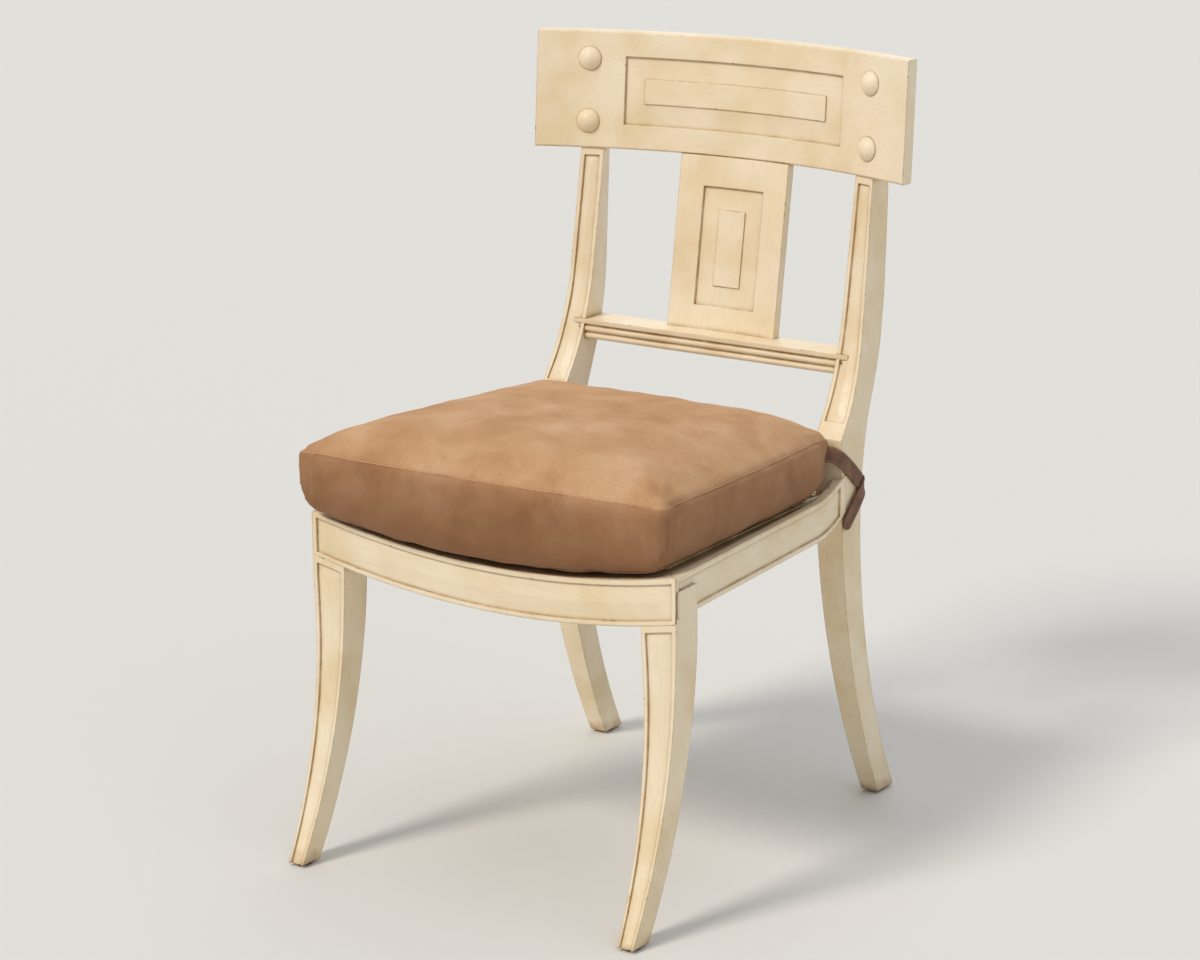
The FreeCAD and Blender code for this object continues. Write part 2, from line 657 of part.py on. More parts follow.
def boss_places():
    return [(s * BOSS_OUT, z) for s in (-1, 1) for z in BOSS_HEIGHTS]


def crest_screw(x, z):
    into = crest_direction(x)
    return screw(board_point(x, z, 0, CREST_SLOPE) + into * (SPIGOT_LENGTH + SEAT_GAP), into,
                 CREST_SCREW_LENGTH)


def mitre_dowel():
    (x1, y1), (x2, y2) = mitre_line()
    across = V(y2 - y1, x1 - x2, 0)
    across.normalize()
    x, y = x1 + (x2 - x1) * MITRE_DOWEL_SHARE, y1 + (y2 - y1) * MITRE_DOWEL_SHARE
    middle = V(x, y, dish(x) - LEDGE_THICK / 2)
    return dowel(middle, across)


def post_dowels():
    # Two dowels from the side rail's end into the post.
    x = side_outer(POST_FACE) - SIDE_APRON / 2
    dowels = []
    for share in POST_DOWEL_SHARES:
        z = SEAT_TOP + SIDE_RISE - SIDE_RAIL_HEIGHT * share
        dowels.append(dowel(V(x, POST_FACE, z), V(0, 1, 0)))
    return dowels


def corner_block():
    # Diagonal block behind the leg's stub, glued to both aprons under their ledges.
    foot = SEAT_TOP - SIDE_RAIL_HEIGHT + BLOCK_CLEAR
    near = SEAT_HALF_FRONT - LEG_TOP_WIDTH - BLOCK_REACH + BLOCK_SPAN
    far = near - BLOCK_SPAN
    low_y = LEG_TOP_DEPTH + BLOCK_REACH - BLOCK_SPAN
    high_y = low_y + BLOCK_SPAN
    outline = [(far, FRONT_APRON), (near, FRONT_APRON), (side_outer(low_y) - SIDE_APRON, low_y),
               (side_outer(high_y) - SIDE_APRON, high_y)]
    return prism(outline, foot, SEAT_TOP).common(under_dish(LEDGE_THICK)), outline, foot


def block_screws():
    # One screw into each apron, from the block's open face.
    _, ((x1, y1), _, _, (x2, y2)), foot = corner_block()
    z = foot + SCREW_HEAD_RADIUS + EASE
    share = BLOCK_SCREW_SHARE
    x, y = x1 + (x2 - x1) * share, y1 + (y2 - y1) * share
    front = screw(V(x, y, z), V(0, -1, 0), SCREW_LENGTH)
    x, y = x2 - (x2 - x1) * share, y2 - (y2 - y1) * share
    return [front, screw(V(x, y, z), V(1, 0, 0), SCREW_LENGTH)]


def glide(x, y):
    # A round glide with its nail, and the nail alone as the foot's hole.
    up = V(0, 0, 1)
    edge = GLIDE_RADIUS - EASE
    pad = turned(V(x, y, 0), up, [(0, edge), (EASE, GLIDE_RADIUS), (GLIDE_HEIGHT, GLIDE_RADIUS)], GLIDE_SIDES)
    nail = turned(V(x, y, GLIDE_HEIGHT), up, [(0, NAIL_RADIUS), (NAIL_LENGTH, NAIL_RADIUS)])
    return pad.fuse(nail), nail


def foot_middles():
    leg = (LEG_FOOT_OUTER - LEG_FOOT_WIDTH / 2, (leg_front(GLIDE_HEIGHT) + leg_back(GLIDE_HEIGHT)) / 2)
    foot = POST_OUTER[0][1] - POST_WIDTH[0][1] / 2
    post = (foot, (post_front_low(GLIDE_HEIGHT) + post_back(GLIDE_HEIGHT)) / 2)
    return leg, post


# Cane seat

def cane_outline(inset):
    # Plan of the cane inside its rows of holes: right half, from the front to the back.
    front = FRONT_LEDGE - CANE_SET + inset
    rear = POST_FACE + CANE_SET - inset
    notch = post_inner(SEAT_TOP) - SEAT_GAP
    step = POST_FACE - SEAT_GAP - inset

    def edge(y):
        return side_outer(y) - side_ledge(y) + CANE_SET - inset

    right = [(edge(front), front), (edge(step), step), (notch - inset, step), (notch - inset, rear)]
    return right + [(-x, y) for x, y in reversed(right)]


def seat_layer(low, high):
    # A sheet that follows the dish, in flat strips one cane gap wide.
    count = 2 * round(SEAT_HALF_FRONT / CANE_PITCH)
    half = count * CANE_PITCH / 2
    xs = [x - CANE_PITCH / 2 for x in spread(-half, half + CANE_PITCH, count + 1)]
    top = [V(x, 0, dish(x) + high) for x in xs]
    bottom = [V(x, 0, dish(x) + low) for x in reversed(xs)]
    return Part.Face(polygon(top + bottom)).extrude(V(0, POST_BACK, 0)), xs


def cane_panel():
    sheet, xs = seat_layer(SEAT_GAP, SEAT_GAP + CANE_THICK)
    edge = prism(cane_outline(0), 0, 2 * SEAT_TOP)
    inside = prism(cane_outline(SPLINE_WIDTH + CANE_BAR), 0, 2 * SEAT_TOP)
    gaps = []
    rows = int((POST_FACE - FRONT_LEDGE) / CANE_PITCH)
    for x in xs[:-1]:
        for j in range(rows + 1):
            y = FRONT_LEDGE + CANE_BAR + j * CANE_PITCH
            gaps.append(Part.makeBox(CANE_PITCH - CANE_BAR, CANE_PITCH - CANE_BAR, 4 * SEAT_DIP,
                                     V(x + CANE_BAR / 2, y, SEAT_TOP - 2 * SEAT_DIP)))
    holes = Part.makeCompound(gaps).common(inside)
    return sheet.common(edge).cut(holes)


def cane_spline():
    low = SEAT_GAP + CANE_THICK + SEAT_GAP
    layer, _ = seat_layer(low, low + SPLINE_THICK)
    ring = prism(cane_outline(0), 0, 2 * SEAT_TOP).cut(prism(cane_outline(SPLINE_WIDTH), 0, 2 * SEAT_TOP))
    return layer.common(ring)


# Cushion

def cushion_outline():
    # Plan of the cushion: a trapezoid with rounded corners, whose sides swell as arcs between them.
    front, rear = CUSHION_HALF_FRONT, CUSHION_HALF_REAR
    corners = [V(-front, CUSHION_FRONT, 0), V(front, CUSHION_FRONT, 0),
               V(rear, CUSHION_BACK, 0), V(-rear, CUSHION_BACK, 0)]
    centre = V(0, (CUSHION_FRONT + CUSHION_BACK) / 2, 0)
    points = []
    for i, corner in enumerate(corners):
        following = corners[(i + 1) % 4]
        before = (corners[i - 1] - corner).normalize()
        after = (following - corner).normalize()
        half = before.getAngle(after) / 2
        middle = corner + (before + after).normalize() * (CUSHION_CORNER / math.sin(half))
        setback = CUSHION_CORNER / math.tan(half)
        start, end, far = corner + before * setback, corner + after * setback, following - after * setback
        for share in spread(0, 1, CORNER_STEPS):
            way = (start + (end - start) * share - middle).normalize()
            points.append(middle + way * CUSHION_CORNER)
        out = ((end + far) * 0.5 - centre).normalize()
        for share in spread(0, 1, SIDE_STEPS)[1:-1]:
            points.append(end + (far - end) * share + out * (4 * CUSHION_BULGE * share * (1 - share)))
    return points, centre


def cushion_ring(z, pull):
    # One level: the plan drawn in towards its middle, which keeps every facet of the cushion flat.
    points, centre = cushion_outline()
    share = 1 - pull / CUSHION_HALF_FRONT
    ring = [centre + (point - centre) * share for point in points]
    return [V(point.x, point.y, z) for point in ring]


def cushion_body(inset, lift):
    # The whole cushion, or what lies inside it by the inset, cut to the seat that it rests on.
    top = CUSHION_LAYERS[-1][0]
    rings = [cushion_ring(min(z, top - inset), pull + inset) for z, pull in CUSHION_LAYERS if z < top]
    rings.append(cushion_ring(top - inset + EASE / 2, CUSHION_LAYERS[-1][1] + inset))
    side = above_side_rail(lift)
    return loft(rings, True).cut(under_dish(-lift)).cut(side).cut(mirrored(side))


def tie_strap():
    # The inner tie runs back along the post, round behind it and forward again as a free end; the outer
    # tie runs from the cushion's corner to meet it.
    front, back = POST_FACE - STRAP_START, POST_BACK + STRAP_BEHIND
    outer = max(size for _, size in POST_OUTER) + SEAT_GAP
    inner = post_inner(STRAP_HEIGHT) - SEAT_GAP - STRAP_THICK
    w = STRAP_WIDTH

    def band(y1, z1, y2, z2, x):
        return side_prism([(y1, z1), (y2, z2), (y2, z2 + w), (y1, z1 + w)], x, STRAP_THICK)

    reach = back + STRAP_THICK
    over = outer + STRAP_THICK + SEAT_GAP
    wrap = STRAP_WRAP
    outer_tie = band(front, STRAP_HEIGHT - OUTER_TIE_DROP, back, wrap + LINK_INSET, outer)
    inner_tie = band(front, STRAP_HEIGHT + INNER_TIE_RISE, reach, wrap, inner)
    behind = Part.makeBox(over + STRAP_THICK - inner, STRAP_THICK, w, V(inner, back, wrap))
    end = [(POST_FACE + y, wrap + z) for y, z in TIE_END]
    tail = side_prism([(reach, wrap)] + end + [(reach, wrap + w)], over, STRAP_THICK)
    link = Part.makeBox(over + STRAP_THICK - outer, w, w - 2 * LINK_INSET,
                        V(outer, reach - w, wrap + LINK_INSET))
    return fused([outer_tie, inner_tie, behind, tail, link])


# Assembly: what fits into another piece is cut out of it

def build():
    front_blank = front_rail_blank()
    side_blank = side_rail_blank()
    post_blank = rear_post_blank()
    rear_rail, rear_tenon = rear_rail_blank()
    lap = lap_front()
    post_tongue = post_blank.cut(lap)
    side_clear = side_blank.cut(post_blank)
    rear_body = rear_rail.cut(post_blank).cut(mirrored(post_blank)).fuse(rear_tenon)

    screws = block_screws()
    dowels = post_dowels() + [mitre_dowel()]
    leg_foot, post_foot = foot_middles()
    leg_glide, leg_nail = glide(*leg_foot)
    post_glide, post_nail = glide(*post_foot)

    stay_shape = stay_rail_blank()
    splat = splat_blank()
    stay = stay_shape.cut(splat)

    crest_screws = [crest_screw(x, z) for x, z in boss_places()]
    posts = []
    for side in (1, -1):
        own_screws = [s for s, (x, _) in zip(crest_screws, boss_places()) if x * side > 0]
        shape = post_tongue if side > 0 else mirrored(post_tongue)
        field = post_field() if side > 0 else mirrored(post_field())
        nails = [post_nail if side > 0 else mirrored(post_nail)]
        pegs = [d if side > 0 else mirrored(d) for d in post_dowels()]
        for tool in [field, stay_shape, rear_tenon] + nails + pegs + own_screws:
            shape = shape.cut(tool)
        posts.append(shape)

    crest = crest_blank().cut(post_tongue).cut(mirrored(post_tongue)).cut(splat).cut(crest_panel())
    for (x, z), one in zip(boss_places(), crest_screws):
        crest = crest.cut(boss_socket(x, z)).cut(one)

    front = front_blank.cut(front_rail_field())
    side = side_clear.cut(side_rail_field())
    leg = front_leg_blank().cut(front_blank).cut(side_blank).cut(front_leg_field()).cut(leg_nail)
    for peg in [mitre_dowel(), mirrored(mitre_dowel())]:
        front = front.cut(peg)
    for peg in dowels + screws:
        side = side.cut(peg)
    front = front.cut(screws[0]).cut(mirrored(screws[0]))
    block = corner_block()[0].cut(leg)
    for one in screws:
        block = block.cut(one)
    splat = splat.cut(fielded_panel(SPLAT_PANEL_HALF, SPLAT_PANEL_FOOT, SPLAT_PANEL_TOP, SPLAT_FIELD_HALF,
                                    SPLAT_FIELD_FOOT, SPLAT_FIELD_TOP, SPLAT_SLOPE))

    cover_inside = cushion_body(COVER_THICK, CUSHION_LIFT + COVER_THICK)
    PARTS["front_rail"] = [front]
    PARTS["side_rail_left"] = [side]
    PARTS["side_rail_right"] = [mirrored(side)]
    PARTS["rear_rail"] = [rear_body]
    PARTS["front_leg_left"] = [leg]
    PARTS["front_leg_right"] = [mirrored(leg)]
    PARTS["rear_post_left"] = [posts[0]]
    PARTS["rear_post_right"] = [posts[1]]
    PARTS["crest_rail"] = [crest]
    PARTS["splat"] = [splat]
    PARTS["stay_rail"] = [stay]
    PARTS["crest_bosses"] = [boss(x, z) for x, z in boss_places()]
    PARTS["crest_screws"] = crest_screws
    PARTS["corner_blocks"] = [block, mirrored(block)]
    PARTS["corner_screws"] = screws + [mirrored(s) for s in screws]
    PARTS["rail_dowels"] = dowels + [mirrored(d) for d in dowels]
    PARTS["floor_glides"] = [g for one in (leg_glide, post_glide) for g in (one, mirrored(one))]
    PARTS["cane_panel"] = [cane_panel()]
    PARTS["cane_spline"] = [cane_spline()]
    PARTS["cushion_cover"] = [cushion_body(0, CUSHION_LIFT).cut(cover_inside)]
    PARTS["cushion_core"] = [cushion_body(COVER_THICK + CORE_GAP, CUSHION_LIFT + COVER_THICK + CORE_GAP)]
    PARTS["tie_straps"] = [tie_strap(), mirrored(tie_strap())]


def export():
    # Every piece is moved so that the origin lies under the middle of the chair's box.
    os.makedirs("parts", exist_ok=True)
    box = Part.makeCompound([s for shapes in PARTS.values() for s in shapes]).optimalBoundingBox(False, False)
    shift = V(-box.Center.x, -box.Center.y, -box.ZMin)
    print("box %.2f x %.2f x %.2f, moved by %.3f %.3f %.3f" % (
        box.XLength, box.YLength, box.ZLength, shift.x, shift.y, shift.z))
    for name, shapes in PARTS.items():
        solids = [solid for shape in shapes for solid in shape.Solids]
        whole = solids[0] if len(solids) == 1 else Part.makeCompound(solids)
        whole.translate(shift)
        whole.exportStep("parts/" + name + ".step")
        print("%-16s %2d solids %10.1f mm3 valid %s" % (name, len(solids), whole.Volume, whole.isValid()))


build()
export()
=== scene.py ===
import math

import bmesh
import bpy
import numpy as np
from mathutils import Matrix, Vector
from mathutils.bvhtree import BVHTree


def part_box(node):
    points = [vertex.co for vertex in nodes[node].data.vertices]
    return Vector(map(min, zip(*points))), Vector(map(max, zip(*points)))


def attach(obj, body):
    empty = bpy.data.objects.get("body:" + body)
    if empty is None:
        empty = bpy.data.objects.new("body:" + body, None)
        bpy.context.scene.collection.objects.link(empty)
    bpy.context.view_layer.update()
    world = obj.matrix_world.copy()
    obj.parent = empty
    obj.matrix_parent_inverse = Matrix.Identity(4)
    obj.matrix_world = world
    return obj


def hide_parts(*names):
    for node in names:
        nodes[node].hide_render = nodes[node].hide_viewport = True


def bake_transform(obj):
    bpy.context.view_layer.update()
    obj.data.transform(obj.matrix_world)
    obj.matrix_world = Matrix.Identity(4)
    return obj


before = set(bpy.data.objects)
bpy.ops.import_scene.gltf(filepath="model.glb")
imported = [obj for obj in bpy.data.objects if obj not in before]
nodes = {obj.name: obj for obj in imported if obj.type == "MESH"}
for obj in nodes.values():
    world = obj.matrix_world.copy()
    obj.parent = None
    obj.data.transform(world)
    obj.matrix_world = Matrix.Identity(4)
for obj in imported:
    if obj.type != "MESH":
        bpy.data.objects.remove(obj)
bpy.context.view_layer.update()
print("frame loaded with", len(nodes), "CAD nodes")


# small tools for materials

def toLinear(hexCode):
    # an sRGB hex value as linear red, green, blue and alpha
    channels = [int(hexCode[i:i + 2], 16) / 255 for i in (1, 3, 5)]
    return [c / 12.92 if c <= 0.04045 else ((c + 0.055) / 1.055) ** 2.4 for c in channels] + [1.0]


def perFeature(millimetres):
    # the scale at which one feature of a texture is about this many millimetres across
    return 1000.0 / millimetres


def addNode(tree, kind, values=None, links=None, stops=None, **settings):
    # one node with its settings, socket values, the outputs that feed it and a ramp's (place, colour) stops
    node = tree.nodes.new("ShaderNode" + kind)
    for name, value in settings.items():
        setattr(node, name, value)
    for socket, value in (values or {}).items():
        node.inputs[socket].default_value = value
    for socket, source in (links or {}).items():
        tree.links.new(source, node.inputs[socket])
    if stops:
        elements = node.color_ramp.elements
        while len(elements) < len(stops):
            elements.new(0.5)
        for element, (place, colour) in zip(elements, stops):
            element.position = place
            element.color = toLinear(colour)
    return node


def newMaterial(name):
    material = bpy.data.materials.new(name)
    material.use_nodes = True
    return material, material.node_tree, material.node_tree.nodes["Principled BSDF"]


# small tools for meshes

def meshPiece(name, points, faces, material, sharpAngle=40.0):
    # an object at the origin with its place in its mesh, faces outward, smooth but for edges past the angle
    mesh = bpy.data.meshes.new(name)
    mesh.from_pydata(np.asarray(points).reshape(-1, 3).tolist(), [], faces)
    work = bmesh.new()
    work.from_mesh(mesh)
    bmesh.ops.recalc_face_normals(work, faces=work.faces)
    work.to_mesh(mesh)
    work.free()
    mesh.shade_smooth()
    mesh.set_sharp_from_angle(angle=math.radians(sharpAngle))
    mesh.materials.append(material)
    piece = bpy.data.objects.new(name, mesh)
    bpy.context.scene.collection.objects.link(piece)
    return piece


def carriedPiece(name, stack, material, closed=False, sharpAngle=40.0):
    # many like tubes at once: stack[copy, row, column] holds points, columns close on themselves,
    # and the rows close too or end in flat caps
    count, rows, columns = stack.shape[:3]
    index = np.arange(count * rows * columns).reshape(count, rows, columns)
    first = index if closed else index[:, :-1]
    second = np.roll(index, -1, axis=1) if closed else index[:, 1:]
    quads = np.stack([first, np.roll(first, -1, axis=2), np.roll(second, -1, axis=2), second], axis=-1)
    faces = quads.reshape(-1, 4).tolist()
    if not closed:
        faces += index[:, [0, -1]].reshape(-1, columns).tolist()
    return meshPiece(name, stack, faces, material, sharpAngle)


def unit(vectors):
    return vectors / np.linalg.norm(vectors, axis=-1, keepdims=True)


def throughPoints(points, count):
    # Catmull-Rom curve through the points, read at evenly spaced parameters
    points = np.asarray(points, float)
    padded = np.vstack([2 * points[0] - points[1], points, 2 * points[-1] - points[-2]])
    place = np.linspace(0, len(points) - 1, count)
    cell = np.minimum(place.astype(int), len(points) - 2)
    t = (place - cell)[:, None]
    a, b, c, d = (padded[cell + k] for k in range(4))
    square, cube = 2 * a - 5 * b + 4 * c - d, 3 * b - a - 3 * c + d
    return 0.5 * (2 * b + (c - a) * t + square * t ** 2 + cube * t ** 3)


def pathFrames(path, out, closed=False):
    # along a path: the side square to its way forward, and the outward direction squared to both
    if closed:
        forward = unit(np.roll(path, -1, axis=0) - np.roll(path, 1, axis=0))
    else:
        forward = unit(np.gradient(path, axis=0))
    side = unit(np.cross(forward, out))
    return side, unit(np.cross(side, forward))


def alongPath(path, side, out, profile):
    # a profile of (sideways, outward) pairs carried along a path
    profile = np.asarray(profile)
    return path[..., None, :] + side[..., None, :] * profile[:, :1] + out[..., None, :] * profile[:, 1:]


def circleProfile(radius, count):
    turns = np.linspace(0, 2 * np.pi, count, endpoint=False)
    return np.stack([radius * np.cos(turns), radius * np.sin(turns)], axis=1)


def stitchRow(path, side, out, spacing, length, radius, lift):
    # short threads laid end to end along a path, each rising from the leather and dipping back as a sine
    travelled = np.concatenate([[0], np.cumsum(np.linalg.norm(np.diff(path, axis=0), axis=1))])
    starts = np.arange(spacing, travelled[-1] - spacing, spacing)
    shares = np.linspace(0, 1, 5)
    places = starts[:, None] + shares * length
    read = [np.stack([np.interp(places, travelled, values[:, k]) for k in range(3)], axis=-1)
            for values in (path, side, out)]
    centre = read[0] + read[2] * (lift * (np.sin(np.pi * shares) - 0.35))[None, :, None]
    return alongPath(centre, read[1], read[2], circleProfile(radius, 6))


# painted beech

paint = {
    "cream": "#EDDBBB",
    "pale": "#F1E2C6",
    "aged": "#E6D1AA",
    "streak": "#D6C096",
    "glazeAndShade": "#A27C42",
    "rubbed": "#C19C66",
    "bareNick": "#5A4530",
    "foot": "#A98A62",
    # sizes of the patterns in millimetres
    "blotchSize": 70.0, "brushWidth": 2.5, "glazePatch": 22.0, "rubSize": 16.0, "nickSize": 7.0,
    "brushLength": 0.06,     # how much slower the brush marks change along the grain
    "glazeReach": 0.009,     # metres
    "arris": 0.0022,
    "scuffTop": 0.030, "scuffFull": 0.004,      # heights where the feet's wear starts and is full
}


def antiquedPaint(name, grain):
    # milk paint on beech, rubbed back and glazed with umber: cream with faint brush marks, brown in the
    # grooves, painted shade where the cushion, the floor or another part comes close, thin ochre along the
    # arrises and a few dark nicks where it has chipped to the wood
    material, tree, shader = newMaterial(name)
    place = addNode(tree, "TexCoord").outputs["Object"]
    stretch = [1.0, 1.0, 1.0]
    stretch["XYZ".index(grain)] = paint["brushLength"]
    brushed = addNode(tree, "Mapping", {"Scale": stretch}, {"Vector": place}).outputs[0]
    blotch = addNode(tree, "TexNoise", {"Scale": perFeature(paint["blotchSize"]), "Detail": 3.0},
                     {"Vector": place}).outputs[0]
    colour = addNode(tree, "ValToRGB", None, {"Fac": blotch},
                     [(0.34, paint["aged"]), (0.5, paint["cream"]), (0.66, paint["pale"])]).outputs[0]
    brush = addNode(tree, "TexNoise", {"Scale": perFeature(paint["brushWidth"]), "Detail": 3.0},
                    {"Vector": brushed}).outputs[0]
    marks = addNode(tree, "MapRange", {"From Min": 0.5, "From Max": 0.8, "To Max": 0.3},
                    {"Value": brush}).outputs[0]
    colour = addNode(tree, "Mix", {7: toLinear(paint["streak"])}, {0: marks, 6: colour},
                     data_type="RGBA").outputs[2]
    # umber glaze left in the recesses; the same occlusion mask also paints shade wherever the cushion, the
    # floor or another part comes within reach
    occlusion = addNode(tree, "AmbientOcclusion", {"Distance": paint["glazeReach"]}, samples=10).outputs["AO"]
    patchy = addNode(tree, "TexNoise", {"Scale": perFeature(paint["glazePatch"]), "Detail": 2.0},
                     {"Vector": place}).outputs[0]
    strength = addNode(tree, "MapRange", {"From Min": 0.3, "From Max": 0.65, "To Min": 0.35, "To Max": 1.0},
                       {"Value": patchy}).outputs[0]
    recessAndShade = addNode(tree, "MapRange", {"From Min": 0.88, "From Max": 0.4, "To Max": 0.85},
                     {"Value": occlusion}).outputs[0]
    glazeAndShade = addNode(tree, "Math", None, {0: recessAndShade, 1: strength}, operation="MULTIPLY").outputs[0]
    colour = addNode(tree, "Mix", {7: toLinear(paint["glazeAndShade"])}, {0: glazeAndShade, 6: colour},
                     data_type="RGBA").outputs[2]
    # arrises: where the rounded normal leaves the true one
    rounded = addNode(tree, "Bevel", {"Radius": paint["arris"]}, samples=6).outputs[0]
    flat = addNode(tree, "NewGeometry").outputs["Normal"]
    match = addNode(tree, "VectorMath", None, {0: rounded, 1: flat}, operation="DOT_PRODUCT").outputs["Value"]
    edge = addNode(tree, "MapRange", {"From Min": 0.995, "From Max": 0.86}, {"Value": match}).outputs[0]
    rubNoise = addNode(tree, "TexNoise", {"Scale": perFeature(paint["rubSize"]), "Detail": 4.0},
                       {"Vector": place}).outputs[0]
    rubPart = addNode(tree, "MapRange", {"From Min": 0.42, "From Max": 0.68, "To Min": 0.1, "To Max": 0.8},
                      {"Value": rubNoise}).outputs[0]
    rub = addNode(tree, "Math", None, {0: edge, 1: rubPart}, operation="MULTIPLY").outputs[0]
    colour = addNode(tree, "Mix", {7: toLinear(paint["rubbed"])}, {0: rub, 6: colour},
                     data_type="RGBA").outputs[2]
    nickNoise = addNode(tree, "TexNoise", {"Scale": perFeature(paint["nickSize"]), "Detail": 5.0},
                        {"Vector": place}).outputs[0]
    nickPart = addNode(tree, "MapRange", {"From Min": 0.63, "From Max": 0.68},
                       {"Value": nickNoise}).outputs[0]
    nick = addNode(tree, "Math", None, {0: edge, 1: nickPart}, operation="MULTIPLY").outputs[0]
    colour = addNode(tree, "Mix", {7: toLinear(paint["bareNick"])}, {0: nick, 6: colour},
                     data_type="RGBA").outputs[2]
    # scuffed feet
    height = addNode(tree, "SeparateXYZ", None, {0: place}).outputs["Z"]
    low = addNode(tree, "MapRange", {"From Min": paint["scuffTop"], "From Max": paint["scuffFull"]},
                  {"Value": height}, clamp=False).outputs[0]
    scuff = addNode(tree, "Math", None, {0: low, 1: rubNoise}, operation="ADD").outputs[0]
    bare = addNode(tree, "MapRange", {"From Min": 1.0, "From Max": 1.7, "To Max": 0.8},
                   {"Value": scuff}).outputs[0]
    colour = addNode(tree, "Mix", {7: toLinear(paint["foot"])}, {0: bare, 6: colour},
                     data_type="RGBA").outputs[2]
    tree.links.new(colour, shader.inputs["Base Color"])
    dull = addNode(tree, "MapRange", {"From Min": 0.3, "From Max": 0.7, "To Min": 0.36, "To Max": 0.52},
                   {"Value": brush}).outputs[0]
    tree.links.new(dull, shader.inputs["Roughness"])
    ground = addNode(tree, "Math", {1: -1.5}, {0: nick, 2: brush}, operation="MULTIPLY_ADD").outputs[0]
    bump = addNode(tree, "Bump", {"Strength": 0.18, "Distance": 0.0004},
                   {"Height": ground, "Normal": rounded})
    tree.links.new(bump.outputs[0], shader.inputs["Normal"])
    shader.inputs["Specular IOR Level"].default_value = 0.4
    return material


def bareBeech():
    # planed beech, unpainted inside the seat: pinkish straw with fine darker flecks along the grain
    material, tree, shader = newMaterial("bareBeech")
    place = addNode(tree, "TexCoord").outputs["Object"]
    along = addNode(tree, "Mapping", {"Scale": (0.08, 1.0, 1.0)}, {"Vector": place}).outputs[0]
    grain = addNode(tree, "TexNoise", {"Scale": perFeature(2.0), "Detail": 4.0}, {"Vector": along}).outputs[0]
    colour = addNode(tree, "ValToRGB", None, {"Fac": grain},
                     [(0.35, "#B98E60"), (0.55, "#D8B385"), (0.75, "#E3C49B")]).outputs[0]
    tree.links.new(colour, shader.inputs["Base Color"])
    bump = addNode(tree, "Bump", {"Strength": 0.3, "Distance": 0.0003}, {"Height": grain})
    tree.links.new(bump.outputs[0], shader.inputs["Normal"])
    shader.inputs["Roughness"].default_value = 0.6
    return material


def zincSteel():
    # bright zinc plate on steel screws: grey metal with a faint cloudy tarnish
    material, tree, shader = newMaterial("zincSteel")
    place = addNode(tree, "TexCoord").outputs["Object"]
    cloud = addNode(tree, "TexNoise", {"Scale": perFeature(3.0), "Detail": 3.0}, {"Vector": place}).outputs[0]
    colour = addNode(tree, "ValToRGB", None, {"Fac": cloud}, [(0.3, "#8F8F8A"), (0.7, "#C3C4C2")]).outputs[0]
    dull = addNode(tree, "MapRange", {"To Min": 0.28, "To Max": 0.5}, {"Value": cloud}).outputs[0]
    tree.links.new(colour, shader.inputs["Base Color"])
    tree.links.new(dull, shader.inputs["Roughness"])
    shader.inputs["Metallic"].default_value = 1.0
    return material


def rattanCane(name, pale, dark):
    # split rattan skin: glossy straw with darker patches and fine lines
    material, tree, shader = newMaterial(name)
    place = addNode(tree, "TexCoord").outputs["Object"]
    patch = addNode(tree, "TexNoise", {"Scale": perFeature(30.0), "Detail": 4.0},
                    {"Vector": place}).outputs[0]
    fibre = addNode(tree, "TexNoise", {"Scale": perFeature(0.8), "Detail": 2.0}, {"Vector": place}).outputs[0]
    colour = addNode(tree, "ValToRGB", None, {"Fac": patch}, [(0.35, dark), (0.65, pale)]).outputs[0]
    tree.links.new(colour, shader.inputs["Base Color"])
    bump = addNode(tree, "Bump", {"Strength": 0.25, "Distance": 0.0002}, {"Height": fibre})
    tree.links.new(bump.outputs[0], shader.inputs["Normal"])
    shader.inputs["Roughness"].default_value = 0.42
    return material


nubuck = {
    "top": ("#B78B64", "#C69B74", "#D4AD89"),         # dark, middle and light of the mottled top
    "shadedBand": ("#94694A", "#A67B59", "#B68D6C"),      # painted shade: the side band darker than the top, as under light from above
    "bandFootShade": "#6B452C",                             # painted shade: darkest at the foot of the side band, furthest from the light above
    "speck": "#7E5230",                               # the bottom of the nap
    "sheen": "#E8C9A4",
    "mottleSize": 75.0,                               # millimetres
    "napSize": 1.1,
}


